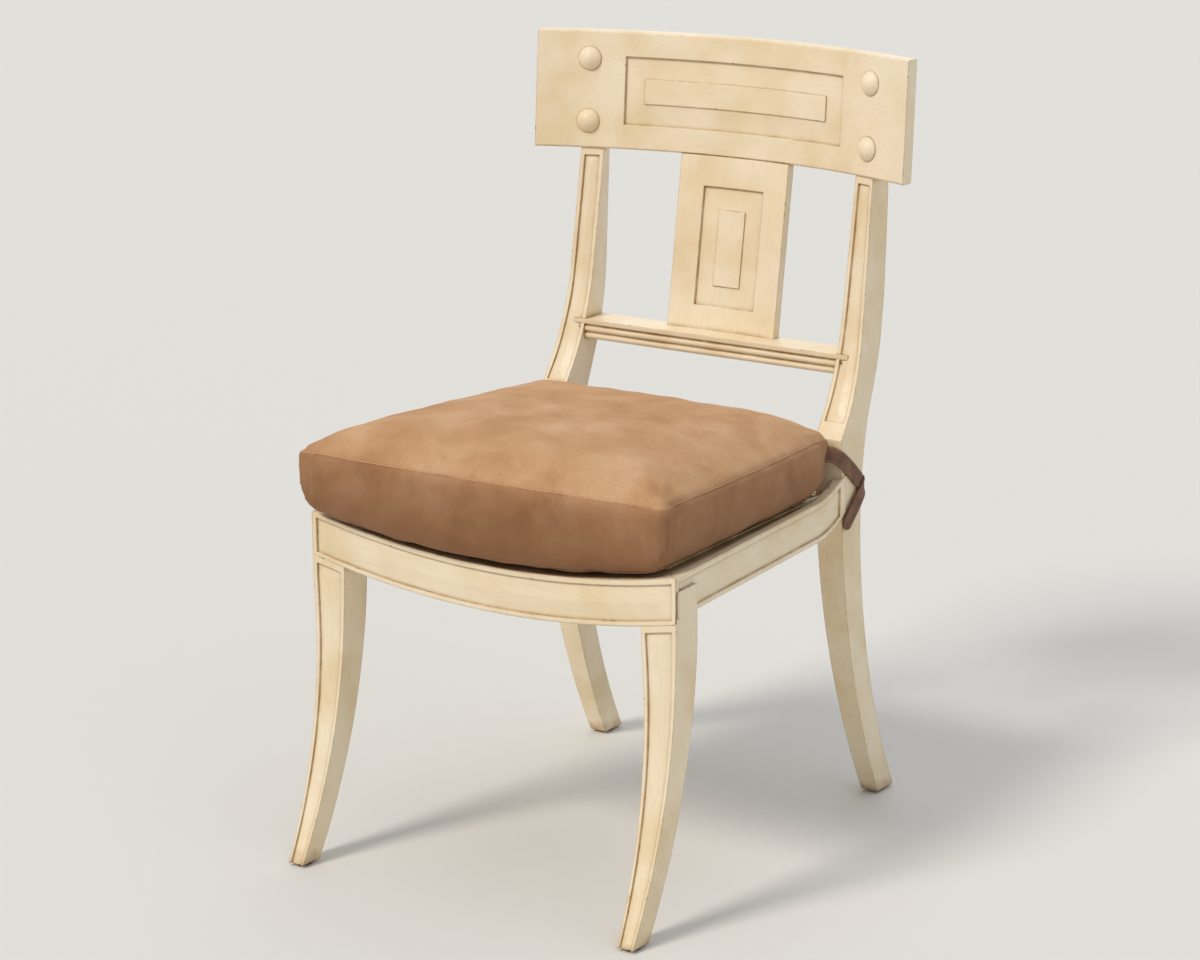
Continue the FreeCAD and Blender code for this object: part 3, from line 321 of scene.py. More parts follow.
def nubuckLeather():
    # buffed nubuck: a velvety tan nap with soft light and dark handling marks and almost no shine, and
    # painted shade that darkens the side band towards its foot
    material, tree, shader = newMaterial("nubuckLeather")
    place = addNode(tree, "TexCoord").outputs["Object"]
    mottle = addNode(tree, "TexNoise", {"Scale": perFeature(nubuck["mottleSize"]), "Detail": 5.0,
                                        "Roughness": 0.58, "Distortion": 0.25}, {"Vector": place}).outputs[0]
    nap = addNode(tree, "TexNoise", {"Scale": perFeature(nubuck["napSize"]), "Detail": 3.0},
                  {"Vector": place}).outputs[0]
    bandShade = addNode(tree, "Attribute", attribute_name="shadedBand").outputs["Fac"]
    places = (0.34, 0.5, 0.68)
    top, shadedBand = [addNode(tree, "ValToRGB", None, {"Fac": mottle},
                           list(zip(places, nubuck[part]))).outputs[0] for part in ("top", "shadedBand")]
    # painted shade: the side band takes the darker colours, and darker still towards its foot
    side = addNode(tree, "MapRange", {"From Max": 0.5}, {"Value": bandShade}).outputs[0]
    foot = addNode(tree, "MapRange", {"From Min": 0.5, "To Max": 0.7}, {"Value": bandShade}).outputs[0]
    colour = addNode(tree, "Mix", None, {0: side, 6: top, 7: shadedBand}, data_type="RGBA").outputs[2]
    colour = addNode(tree, "Mix", {7: toLinear(nubuck["bandFootShade"])}, {0: foot, 6: colour},
                     data_type="RGBA").outputs[2]
    speck = addNode(tree, "MapRange", {"From Min": 0.3, "From Max": 0.75, "To Max": 0.35},
                    {"Value": nap}).outputs[0]
    colour = addNode(tree, "Mix", {7: toLinear(nubuck["speck"])}, {0: speck, 6: colour},
                     data_type="RGBA").outputs[2]
    tree.links.new(colour, shader.inputs["Base Color"])
    bump = addNode(tree, "Bump", {"Strength": 0.45, "Distance": 0.0006}, {"Height": nap})
    tree.links.new(bump.outputs[0], shader.inputs["Normal"])
    shader.inputs["Roughness"].default_value = 0.92
    shader.inputs["Specular IOR Level"].default_value = 0.15
    shader.inputs["Sheen Weight"].default_value = 0.25
    shader.inputs["Sheen Roughness"].default_value = 0.6
    shader.inputs["Sheen Tint"].default_value = toLinear(nubuck["sheen"])
    return material


def suedeStrap():
    # brown suede strap, darker than the cushion and polished a little by handling
    material, tree, shader = newMaterial("suedeStrap")
    place = addNode(tree, "TexCoord").outputs["Object"]
    patch = addNode(tree, "TexNoise", {"Scale": perFeature(14.0), "Detail": 5.0},
                    {"Vector": place}).outputs[0]
    nap = addNode(tree, "TexNoise", {"Scale": perFeature(0.9), "Detail": 2.0}, {"Vector": place}).outputs[0]
    colour = addNode(tree, "ValToRGB", None, {"Fac": patch},
                     [(0.3, "#4C2E1C"), (0.52, "#6B4328"), (0.72, "#855A3A")]).outputs[0]
    tree.links.new(colour, shader.inputs["Base Color"])
    bump = addNode(tree, "Bump", {"Strength": 0.4, "Distance": 0.0005}, {"Height": nap})
    tree.links.new(bump.outputs[0], shader.inputs["Normal"])
    shader.inputs["Roughness"].default_value = 0.78
    shader.inputs["Sheen Weight"].default_value = 0.2
    return material


def waxedThread(name, light, dark):
    # waxed linen thread: a twisted strand, read as fine light and dark turns
    material, tree, shader = newMaterial(name)
    place = addNode(tree, "TexCoord").outputs["Object"]
    twist = addNode(tree, "TexNoise", {"Scale": perFeature(0.7), "Detail": 1.0}, {"Vector": place}).outputs[0]
    colour = addNode(tree, "ValToRGB", None, {"Fac": twist}, [(0.35, dark), (0.65, light)]).outputs[0]
    tree.links.new(colour, shader.inputs["Base Color"])
    bump = addNode(tree, "Bump", {"Strength": 0.4, "Distance": 0.0002}, {"Height": twist})
    tree.links.new(bump.outputs[0], shader.inputs["Normal"])
    shader.inputs["Roughness"].default_value = 0.65
    return material


def blackRubber():
    # moulded black rubber, dusty and matt
    material, tree, shader = newMaterial("blackRubber")
    place = addNode(tree, "TexCoord").outputs["Object"]
    dust = addNode(tree, "TexNoise", {"Scale": perFeature(2.5), "Detail": 4.0}, {"Vector": place}).outputs[0]
    colour = addNode(tree, "ValToRGB", None, {"Fac": dust}, [(0.4, "#161514"), (0.75, "#3A3734")]).outputs[0]
    tree.links.new(colour, shader.inputs["Base Color"])
    shader.inputs["Roughness"].default_value = 0.7
    return material


paintAlong = {grain: antiquedPaint("antiquedPaint" + grain, grain) for grain in "XYZ"}
beech = bareBeech()
steel = zincSteel()
cane = rattanCane("rattanCane", "#E6D09C", "#C4A366")
caneTie = rattanCane("rattanTie", "#F6EDD2", "#E4D2A4")
nubuckSkin = nubuckLeather()
strapSuede = suedeStrap()
seamThread = waxedThread("seamThread", "#CFA27A", "#B5875F")
# painted shade: the lower seam's thread is the seam thread in darker colours, for the shade under the
# cushion's edge
shadedFootThread = waxedThread("shadedFootThread", "#8F6344", "#744C31")
strapThread = waxedThread("strapThread", "#B48A62", "#8A6240")
rubber = blackRubber()
print("materials made")


# the wooden frame: the CAD shapes with merged corners, so that curves shade smooth and arrises stay crisp

woodGrain = {
    "front_rail": "X", "side_rail_left": "Y", "side_rail_right": "Y", "rear_rail": "X",
    "front_leg_left": "Z", "front_leg_right": "Z", "rear_post_left": "Z", "rear_post_right": "Z",
    "crest_rail": "X", "splat": "Z", "stay_rail": "X",
}
mergeStep = 1e-5
ridgeAngle, reedAngle = 7.0, 35.0      # arrises stay crisp past these many degrees


def paintedCopy(nodeName, material):
    # corners within a hundredth of a millimetre become one, and triangles that lose a corner are left out
    source = nodes[nodeName].data
    points = np.empty(len(source.vertices) * 3, np.float32)
    source.vertices.foreach_get("co", points)
    corners = np.empty(len(source.loops), np.int32)
    source.loops.foreach_get("vertex_index", corners)
    rounded = np.round(points.reshape(-1, 3) / mergeStep).astype(np.int64)
    merged, index = np.unique(rounded, axis=0, return_inverse=True)
    triangles = index.reshape(-1)[corners].reshape(-1, 3)
    whole = (triangles != np.roll(triangles, 1, axis=1)).all(axis=1)
    sharpAngle = reedAngle if nodeName == "stay_rail" else ridgeAngle
    faces = triangles[whole].tolist()
    piece = meshPiece(nodeName + "_painted", merged * mergeStep, faces, material, sharpAngle)
    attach(piece, "frame")
    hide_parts(nodeName)


for nodeName, grain in woodGrain.items():
    paintedCopy(nodeName, paintAlong[grain])
for nodeName, material in {"corner_blocks": beech, "rail_dowels": beech, "corner_screws": steel,
                           "crest_screws": steel, "cane_spline": cane}.items():
    for place in nodes[nodeName].material_slots:
        place.material = material
print("wood finished")


# turned pieces

def turnedPiece(name, profile, places, material, columns=56):
    # rings about each axis: the place plus the distance along, plus the radius round two square directions
    profile = np.asarray(profile)
    turns = np.linspace(0, 2 * np.pi, columns, endpoint=False)
    copies = []
    for place, axis in places:
        across = np.cross(axis, (0.0, 0.0, 1.0) if abs(axis[2]) < 0.9 else (1.0, 0.0, 0.0))
        across = unit(across)
        over = np.cross(axis, across)
        spokes = np.cos(turns)[:, None] * across + np.sin(turns)[:, None] * over
        copies.append(np.asarray(place) + profile[:, :1, None] * axis + profile[:, 1:, None] * spokes)
    return carriedPiece(name, np.array(copies), material, sharpAngle=30.0)


crestFront = {
    "radius": 0.642, "half": 0.258, "endY": 0.225668, "foot": 0.761, "lean": math.tan(math.radians(4.2)),
}
boss = {
    "out": 0.196, "heights": (0.794, 0.8695), "radius": 0.0145, "dome": 0.0082, "rim": 0.0012,
    "spigot": 0.0064, "depth": 0.003, "inset": 0.0006, "roll": 0.0004, "eye": 0.02,
}


def crestFace(x, z):
    # the place on the crest's face and the direction out of it
    angle = math.asin(x / crestFront["radius"])
    centreY = crestFront["endY"] - math.sqrt(crestFront["radius"] ** 2 - crestFront["half"] ** 2)
    y = centreY + crestFront["radius"] * math.cos(angle) + crestFront["lean"] * (z - crestFront["foot"])
    out = np.array([-math.sin(angle), -math.cos(angle), crestFront["lean"] * math.cos(angle)])
    return np.array([x, y, z]), unit(out)


def bossProfile():
    # a spigot, a short upright rim with a rolled edge, and a dome whose profile is an arc of a circle
    inner = boss["radius"] - boss["inset"]
    ball = (inner ** 2 + boss["dome"] ** 2) / (2 * boss["dome"])
    angles = np.linspace(math.asin(inner / ball), boss["eye"], 14)
    dome = [(boss["rim"] + ball * math.cos(a) - ball + boss["dome"], ball * math.sin(a)) for a in angles]
    foot = [(-boss["depth"], boss["spigot"]), (0.0, boss["spigot"]), (0.0, boss["radius"] - boss["roll"]),
            (boss["roll"], boss["radius"]), (boss["rim"] * 0.8, boss["radius"])]
    return foot + dome


bosses = turnedPiece("crest_bosses_turned", bossProfile(),
                     [crestFace(side * boss["out"], z) for side in (-1, 1) for z in boss["heights"]],
                     paintAlong["X"])
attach(bosses, "frame")
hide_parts("crest_bosses")

glide = {"radius": 0.0086, "height": 0.0036, "roll": 0.0012, "eye": 0.0005, "taper": 0.0002}


def glidePlaces():
    # the middle of each CAD glide, told apart by the sides of the chair that they stand on
    points = np.array([v.co for v in nodes["floor_glides"].data.vertices])
    places = []
    for sideX in (-1, 1):
        for sideY in (-1, 1):
            own = points[(points[:, 0] * sideX > 0) & (points[:, 1] * sideY > 0)]
            middle = (own.min(axis=0) + own.max(axis=0)) / 2
            places.append((np.array([middle[0], middle[1], 0.0]), np.array([0.0, 0.0, 1.0])))
    return places


def glideProfile():
    # a button: quarter-round at the floor and a side that tapers a little to the top
    angles = np.linspace(0, math.pi / 2, 6)
    inner = glide["radius"] - glide["roll"]
    low = [(glide["roll"] * (1 - math.cos(a)), inner + glide["roll"] * math.sin(a)) for a in angles]
    top = [(glide["height"], glide["radius"] - glide["taper"]), (glide["height"], glide["eye"])]
    return [(0.0, glide["eye"])] + low + top


glides = turnedPiece("floor_glides_turned", glideProfile(), glidePlaces(), rubber, 40)
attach(glides, "frame")
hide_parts("floor_glides")
print("turned pieces made")


# the dished seat

seat = {
    "half": 0.249, "top": 0.4075, "dip": 0.0265,
    "front": -0.235032, "postFace": 0.163968, "halfRear": 0.2195,
    "rise": 0.015, "riseRun": 0.065, "strip": 0.014, "bank": 0.008,
}
seat["radius"] = (seat["half"] ** 2 + seat["dip"] ** 2) / (2 * seat["dip"])


def seatDip(x):
    # height of the trough that runs from front to back: an arc of a circle across the chair
    return seat["top"] - seat["dip"] + seat["radius"] - np.sqrt(seat["radius"] ** 2 - x * x)


def seatFloor(x, y):
    # the trough, and the side rails' rims where they sweep up into the posts as a parabola
    depth = (y - seat["front"]) / (seat["postFace"] - seat["front"])
    outer = seat["half"] + (seat["halfRear"] - seat["half"]) * depth
    climb = np.clip((y - seat["postFace"]) / seat["riseRun"] + 1, 0, 1.2) ** 2 * seat["rise"]
    onRim = np.clip((np.abs(x) - (outer - seat["strip"] - seat["bank"])) / seat["bank"], 0, 1)
    return seatDip(x) + climb * onRim


weave = {
    "pitch": 0.0127, "pair": 0.0017, "width": 0.0022, "thick": 0.0005, "level": 0.00125,
    "wave": 0.00035, "cross": 0.0006, "rearHalf": 0.1818, "rows": 90,
    "tieWidth": 0.0042, "tieSpan": 0.0036, "tieHeight": 0.0024, "tieFoot": 0.0019, "splineMiddle": 0.0025,
    "reach": 32, "diagonals": 48,      # strands laid each way from the middle, of which some miss the seat
}


def caneOutline():
    # plan of the caned field, anticlockwise from the front left corner as one faces the chair
    low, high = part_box("cane_panel")
    return [(low.x, low.y), (high.x, low.y), (weave["rearHalf"], high.y), (-weave["rearHalf"], high.y)]


def insideStretch(point, direction, corners):
    # the stretch of a line inside a convex outline: the highest of its entries to the lowest of its exits
    low, high = -1.0, 1.0
    for a, b in zip(corners, corners[1:] + corners[:1]):
        inward = (a[1] - b[1], b[0] - a[0])
        speed = inward[0] * direction[0] + inward[1] * direction[1]
        room = inward[0] * (point[0] - a[0]) + inward[1] * (point[1] - a[1])
        if abs(speed) < 1e-12 and room < 0:
            return None
        if speed > 1e-12:
            low = max(low, -room / speed)
        if speed < -1e-12:
            high = min(high, -room / speed)
    return (low, high) if high - low > weave["pitch"] / 2 else None


def caneProfile(width):
    # a split strand: bevelled along its upper edges and narrower below
    w, t = width / 2, weave["thick"] / 2
    return [(-w, 0), (-w * 0.6, t), (w * 0.6, t), (w, 0), (w * 0.5, -t), (-w * 0.5, -t)]


def caneStrands(name, starts, direction, height):
    # flat ribbons along one direction, each riding at a height that is a function of its place
    outline = caneOutline()
    runs = [(start, insideStretch(start, direction, outline)) for start in starts]
    runs = [(start, run) for start, run in runs if run]
    shares = np.linspace(0, 1, weave["rows"])
    low, high = (np.array([run[k] for _, run in runs])[:, None] for k in (0, 1))
    travel = low + (high - low) * shares
    x = np.array([start[0] for start, _ in runs])[:, None] + travel * direction[0]
    y = np.array([start[1] for start, _ in runs])[:, None] + travel * direction[1]
    path = np.stack([x, y, seatDip(x) + height(x, y)], axis=-1)
    side = np.broadcast_to(unit(np.array([direction[1], -direction[0], 0.0])), path.shape)
    out = np.broadcast_to(np.array([0.0, 0.0, 1.0]), path.shape)
    strands = carriedPiece(name, alongPath(path, side, out, caneProfile(weave["width"])), cane)
    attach(strands, "frame")
    return strands


def overUnder(x, y):
    # the weave's wave: a cosine of x times a cosine of y, half a turn from one pair to the next
    return weave["wave"] * np.cos(np.pi * x / weave["pitch"]) * np.cos(np.pi * y / weave["pitch"])


def caneSeat():
    # the traditional open pattern: pairs from front to back and across, and two sets of diagonals
    pitch, pair, level, reach = weave["pitch"], weave["pair"], weave["level"], weave["reach"]
    lines = [k * pitch + s * pair for k in range(-reach, reach + 1) for s in (-1, 1)]
    standing = caneStrands("cane_standing", [(line, 0.0) for line in lines], (0.0, 1.0),
                           lambda x, y: level + overUnder(x, y))
    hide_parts("cane_panel")
    caneStrands("cane_crossing", [(0.0, line) for line in lines], (1.0, 0.0),
                lambda x, y: level - overUnder(x, y))
    half = math.sqrt(0.5)
    for name, turn in (("cane_diagonal_left", 1), ("cane_diagonal_right", -1)):
        starts = [((k + 0.5) * pitch, 0.0) for k in range(-weave["diagonals"], weave["diagonals"])]
        caneStrands(name, starts, (half * turn, half), lambda x, y, t=turn: level + t * weave["cross"])


def caneTies():
    # loops of cane that bind the spline at each hole, each a half wave from one side of it to the other
    corners = np.array(caneOutline())
    places, inward, along = [], [], []
    for a, b in zip(corners, np.roll(corners, -1, axis=0)):
        way = unit(b - a)
        turn = np.array([-way[1], way[0]])
        count = int(np.linalg.norm(b - a) / weave["pitch"])
        spots = (np.arange(count) + 0.5) / count
        places.append(a + (b - a) * spots[:, None] + turn * weave["splineMiddle"])
        inward.append(np.repeat(turn[None], count, axis=0))
        along.append(np.repeat(way[None], count, axis=0))
    places, inward, along = (np.concatenate(part) for part in (places, inward, along))
    angles = np.linspace(0, np.pi, 11)
    plan = places[:, None] - inward[:, None] * (weave["tieSpan"] * np.cos(angles))[:, None]
    height = seatDip(plan[..., 0]) + weave["tieFoot"] + weave["tieHeight"] * np.sin(angles) ** 0.5
    path = np.concatenate([plan, height[..., None]], axis=-1)
    flat = np.zeros(places.shape[:1] + (1,))
    side = np.broadcast_to(np.concatenate([along, flat], axis=1)[:, None], path.shape)
    forward = unit(np.gradient(path, axis=1))
    out = np.cross(side, forward)
    ties = carriedPiece("cane_ties", alongPath(path, side, out, caneProfile(weave["tieWidth"])), caneTie)
    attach(ties, "frame")


caneSeat()
caneTies()
print("cane seat woven")


# the cushion

cushion = {
    # front left, front right, rear right and rear left corners as one faces the chair: it lies a little askew
    "corners": ((-0.2545, -0.2605), (0.2405, -0.2435), (0.2125, 0.1535), (-0.2145, 0.1510)),
    "swell": 0.006,          # how far each side bows out between its corners
    "cornerPower": 60.0,     # sharpness of the plan's corners
    "front": -0.2520, "back": 0.1520, "seamFront": 0.4820, "seamRear": 0.4730,
    "crown": 0.0430,         # height of the crown above the seam
    "lift": 0.0050,          # underside over the seat
    "edgeRise": 0.0120,      # roundness of the lower edge
    "belly": 0.010,          # how far the side band swells, as a share
    "startSmaller": 0.992, "startFlatter": 0.93,      # before the cloth pass fills it
    "voxel": 0.006, "pressure": 4.0, "frames": 20, "cap": 0.0045,
    "seamDepth": 0.0020, "seamReach": 0.0035, "threadRadius": 0.0006, "seamSearch": 0.03,
    "underSeam": 0.975, "underSeamRise": 0.3,         # where the lower seam lies
    "puff": 0.0007, "puffAt": 0.011, "puffReach": 0.007,
    "cornerPush": 0.0030, "cornerReach": 0.016,
    "creaseDepth": 0.0022, "creaseReach": 0.006, "creaseTop": 0.008, "creaseRun": 0.02,
    "bandBlur": 0.002, "bandShadeDepth": 0.075,            # change of colour at the seam, and the painted shade deepening down the band
    "rim": 480,              # points round the cushion
    # share of the plan and of the edge's rise, from the middle of the underside outwards
    "underLevels": ((0.04, 0), (0.3, 0), (0.6, 0), (0.8, 0), (0.9, 0.04), (0.955, 0.22),
                    (0.985, 0.6), (1.0, 1.0)),
    "bandLevels": (0.15, 0.35, 0.55, 0.75, 0.9, 1.0),
    "crownLevels": (0.015, 0.04, 0.08, 0.13, 0.2, 0.3, 0.42, 0.56, 0.7, 0.84, 0.96),
}


def cushionPlan(power):
    # a square's rim drawn in to a superellipse: each point divided by the power-norm of its coordinates
    share = np.arange(cushion["rim"]) / cushion["rim"] * 4
    side, along = share.astype(int), share % 1 * 2 - 1
    one = np.ones_like(along)
    x = np.select([side == 0, side == 1, side == 2, side == 3], [along, one, -along, -one])
    y = np.select([side == 0, side == 1, side == 2, side == 3], [-one, along, one, -along])
    norm = (np.abs(x) ** power + np.abs(y) ** power) ** (1 / power)
    return x / norm, y / norm


def cushionRing(scale, power):
    # one level in plan: each point blends the four corners by its distances from them, the sides bow out
    # as parabolas, and the ring is scaled about its middle
    u, v = cushionPlan(power)
    corners = np.array(cushion["corners"])
    shares = np.stack([(1 - u) * (1 - v), (1 + u) * (1 - v), (1 + u) * (1 + v), (1 - u) * (1 + v)]) / 4
    x, y = corners.T @ shares
    middle = corners.mean(axis=0)
    x = x + cushion["swell"] * u * (1 - v * v) - middle[0]
    y = y + cushion["swell"] * v * (1 - u * u) - middle[1]
    return middle[0] + x * scale, middle[1] + y * scale


def seamHeight(y):
    share = (y - cushion["front"]) / (cushion["back"] - cushion["front"])
    return cushion["seamFront"] + (cushion["seamRear"] - cushion["seamFront"]) * share


def cushionShell(shrink, crown):
    # levels from the middle of the underside, round the lower edge, up the side band and over the crown,
    # which rises from the seam as one minus the fourth power of each ring's share of the plan
    power = cushion["cornerPower"]
    levels = []
    for scale, rise in cushion["underLevels"]:
        x, y = cushionRing(scale * shrink, power)
        levels.append((x, y, seatFloor(x, y) + cushion["lift"] + cushion["edgeRise"] * rise))
    for share in cushion["bandLevels"]:
        x, y = cushionRing((1 + cushion["belly"] * 4 * share * (1 - share)) * shrink, power)
        low = seatFloor(x, y) + cushion["lift"] + cushion["edgeRise"]
        levels.append((x, y, low + (seamHeight(y) - low) * share))
    for inward in cushion["crownLevels"]:
        x, y = cushionRing((1 - inward) * shrink, power * (1 - inward) ** 2 + 3)
        levels.append((x, y, seamHeight(y) + crown * (1 - (1 - inward) ** 4)))
    return np.array([np.stack(level, axis=-1) for level in levels])[None]


def applyModifiers(piece):
    bpy.context.view_layer.update()
    graph = bpy.context.evaluated_depsgraph_get()
    made = bpy.data.meshes.new_from_object(piece.evaluated_get(graph), depsgraph=graph)
    piece.modifiers.clear()
    piece.data = made


def meshPoints(mesh):
    points = np.empty(len(mesh.vertices) * 3, np.float32)
    mesh.vertices.foreach_get("co", points)
    return points.reshape(-1, 3).astype(float)


def meshNormals(mesh):
    normals = np.empty(len(mesh.vertices) * 3, np.float32)
    mesh.vertex_normals.foreach_get("vector", normals)
    return normals.reshape(-1, 3).astype(float)


def setPoints(mesh, points):
    mesh.vertices.foreach_set("co", points.astype(np.float32).ravel())
    mesh.update()


def inflate(piece):
    # cloth pass: the cover swells like a filled case, and no point moves further than the cap
    scene = bpy.context.scene
    start = meshPoints(piece.data)
    cloth = piece.modifiers.new("filledCase", "CLOTH")
    cloth.settings.quality = 6
    cloth.settings.mass = 0.3
    cloth.settings.tension_stiffness = 20.0
    cloth.settings.compression_stiffness = 20.0
    cloth.settings.shear_stiffness = 10.0
    cloth.settings.bending_stiffness = 0.5
    cloth.settings.use_pressure = True
    cloth.settings.uniform_pressure_force = cushion["pressure"]
    cloth.settings.effector_weights.gravity = 0.0
    cloth.collision_settings.use_collision = False
    cloth.point_cache.frame_start = 1
    cloth.point_cache.frame_end = cushion["frames"]
    for step in range(1, cushion["frames"] + 1):
        scene.frame_set(step)
    graph = bpy.context.evaluated_depsgraph_get()
    moved = meshPoints(piece.evaluated_get(graph).data) - start
    piece.modifiers.clear()
    scene.frame_set(1)
    length = np.linalg.norm(moved, axis=1, keepdims=True)
    moved *= np.minimum(1.0, cushion["cap"] / np.maximum(length, 1e-9))
    setPoints(piece.data, start + moved)


def keepClear(points):
    # the underside stays over the seat and the back edge in front of the posts
    floor = seatFloor(points[:, 0], points[:, 1]) + cushion["lift"]
    points[:, 2] = np.maximum(points[:, 2], floor)
    points[:, 1] = np.minimum(points[:, 1], cushion["back"] + cushion["swell"])
    return points


def nearestDistance(points, path):
    # distance from each point to the nearest of a path's points, worked out a block of rows at a time
    blocks = [np.sqrt(((block[:, None] - path[None]) ** 2).sum(axis=2).min(axis=1))
              for block in np.array_split(points, max(1, len(points) // 4000))]
    return np.concatenate(blocks)


def settledOn(piece, path):
    # each point moved level to where a line from outside meets the piece, then evened out a little
    tree = BVHTree.FromObject(piece, bpy.context.evaluated_depsgraph_get())
    way = np.roll(path, -1, axis=0) - np.roll(path, 1, axis=0)
    outward = unit(np.stack([way[:, 1], -way[:, 0], 0 * way[:, 0]], axis=1))
    starts = path + outward * cushion["seamSearch"]
    found = [tree.ray_cast(Vector(start), Vector(-turn), 2 * cushion["seamSearch"])
             for start, turn in zip(starts, outward)]
    found = [hit if hit[0] else tree.find_nearest(Vector(point)) for hit, point in zip(found, path)]
    places = np.array([hit[0] for hit in found])
    normals = np.array([hit[1] for hit in found])
    window = range(-2, 3)
    even = sum(np.roll(places, k, axis=0) for k in window) / len(window)
    return even, unit(sum(np.roll(normals, k, axis=0) for k in window))


def seamPath(level):
    # the upper seam runs at the top of the side band, the lower one just under the cushion's edge
    if level == "upper":
        x, y = cushionRing(1.0, cushion["cornerPower"])
        return np.stack([x, y, seamHeight(y)], axis=-1)
    x, y = cushionRing(cushion["underSeam"], cushion["cornerPower"])
    rise = cushion["lift"] + cushion["edgeRise"] * cushion["underSeamRise"]
    return np.stack([x, y, seatFloor(x, y) + rise], axis=-1)


def dressCover(piece):
    # seams pull in, corners stand out with a crease under them, and the case undulates a little
    bpy.context.view_layer.update()
    mesh = piece.data
    points = meshPoints(mesh)
    normals = meshNormals(mesh)
    push = np.zeros(len(points))
    for level in ("upper", "lower"):
        path, _ = settledOn(piece, seamPath(level))
        distance = nearestDistance(points, path)
        push -= cushion["seamDepth"] * np.exp(-(distance / cushion["seamReach"]) ** 2)
        if level == "upper":
            puff = np.exp(-((distance - cushion["puffAt"]) / cushion["puffReach"]) ** 2)
            push += cushion["puff"] * puff
            corners = path[:: cushion["rim"] // 4]
    for corner in corners:
        away = points - corner
        flatDistance = np.linalg.norm(away[:, :2], axis=1)
        spread = np.linalg.norm(away, axis=1)
        push += cushion["cornerPush"] * np.exp(-(spread / cushion["cornerReach"]) ** 2)
        crease = np.exp(-(flatDistance / cushion["creaseReach"]) ** 2) * (away[:, 2] < -cushion["creaseTop"])
        push -= cushion["creaseDepth"] * crease * np.clip(-away[:, 2] / cushion["creaseRun"], 0, 1)
        # small gathers that fan out from the corner
        angle = np.arctan2(away[:, 1], away[:, 0])
        push += 0.0007 * np.sin(15 * angle + 2.0) * np.exp(-((spread - 0.035) / 0.03) ** 2)
    # two slow waves over the whole case, about 50 and 25 mm from crest to hollow
    x, y, z = points.T
    push += 0.0007 * np.sin(61 * x + 23 * y + 1.3) * np.sin(47 * y - 19 * x + 40 * z)
    push += 0.0003 * np.sin(130 * x + 71 * y) * np.sin(117 * y - 63 * z + 0.7)
    points = keepClear(points + normals * push[:, None])
    setPoints(mesh, points)
    # painted shade: a mask that is nothing on the top, a half just under the seam and rises to one down the
    # side band, for the nubuck's darker band
    below = seamHeight(points[:, 1]) - points[:, 2]
    blur, depth = cushion["bandBlur"], cushion["bandShadeDepth"]
    bandShade = np.clip(below / blur + 0.5, 0, 1) * (0.5 + 0.5 * np.clip(below / depth, 0, 1))
    attribute = mesh.attributes.new("shadedBand", "FLOAT", "POINT")
    attribute.data.foreach_set("value", bandShade.astype(np.float32))


def cushionSeam(piece, level):
    # a line of thread lying in the seam all round
    path, out = settledOn(piece, seamPath(level))
    path = path + out * cushion["threadRadius"] * 0.2
    side, out = pathFrames(path, out, closed=True)
    stack = alongPath(path, side, out, circleProfile(cushion["threadRadius"], 8))[None]
    # painted shade: the lower seam takes the darker copy of the thread
    material = seamThread if level == "upper" else shadedFootThread
    thread = carriedPiece("cushion_seam_" + level, stack, material, closed=True)
    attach(thread, "cushion")


def makeCushion():
    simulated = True
    shrink = cushion["startSmaller"] if simulated else 1.0
    shell = cushionShell(shrink, cushion["crown"] * (cushion["startFlatter"] if simulated else 1.0))
    piece = carriedPiece("cushion_cover_sewn", shell, nubuckSkin)
    net = piece.modifiers.new("evenNet", "REMESH")
    net.mode = "VOXEL"
    net.voxel_size = cushion["voxel"]
    applyModifiers(piece)
    if simulated:
        inflate(piece)
    finer = piece.modifiers.new("finer", "SUBSURF")
    finer.levels = 1
    finer.render_levels = 1
    applyModifiers(piece)
    setPoints(piece.data, keepClear(meshPoints(piece.data)))
    dressCover(piece)
    piece.data.shade_smooth()
    piece.data.materials.clear()
    piece.data.materials.append(nubuckSkin)
    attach(piece, "cushion")
    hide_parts("cushion_cover", "cushion_core")
    bpy.context.view_layer.update()
    for level in ("upper", "lower"):
        cushionSeam(piece, level)


makeCushion()
print("cushion filled and sewn")


# the cushion's ties

tie = {
    "width": 0.0190, "thick": 0.0019, "edge": 0.0019, "spacing": 0.0034, "stitch": 0.0024,
    "threadRadius": 0.00035, "lift": 0.00035, "rows": 130,
    "cushionY": 0.1440, "frameY": 0.1660,      # the tie passes from the cushion to the frame between these two depths
}
# places in millimetres from the chair's middle, the front rail's face and the floor, each with the way out
# of the tie; the first route goes round the post and the second is the tie's free end
wrapRoute = [((205, 368, 458), (1, 0, 0.2)), ((214.5, 380, 455), (1, 0, 0.1)),
             ((219.0, 395, 446), (1, 0, 0)), ((219.6, 416, 430), (1, 0, 0)),
             ((219.6, 434, 415), (1, 0.1, 0)), ((217.6, 446.2, 409), (0.7, 0.7, 0)),
             ((209, 448.4, 407), (0, 1, 0)), ((199, 448.5, 407), (0, 1, 0)), ((189, 448.4, 407), (0, 1, 0)),
             ((181.3, 446.2, 409), (-0.7, 0.7, 0)), ((179.3, 434, 418), (-1, 0.1, 0)),
             ((179.3, 416, 432), (-1, 0, 0)), ((179.6, 400, 446), (-1, 0, 0)),
             ((184, 388, 455), (-1, 0.2, 0)), ((192, 376, 460), (-1, 0, 0.2))]
freeRoute = [((196, 450.6, 406), (0, 1, 0)), ((207, 450.7, 406), (0, 1, 0)),
             ((216.5, 449.6, 406), (0.6, 0.8, 0)), ((221.5, 442, 401), (1, 0.2, 0)),
             ((222.2, 429, 389), (1, 0, 0)), ((222.2, 416, 377), (1, 0, 0)),
             ((221.8, 406, 367), (1, 0, 0)), ((221.4, 401, 362), (1, 0, 0))]
routeShift = np.array([0.0, seat["front"] * 1000, 0.0])      # the front rail's face in millimetres


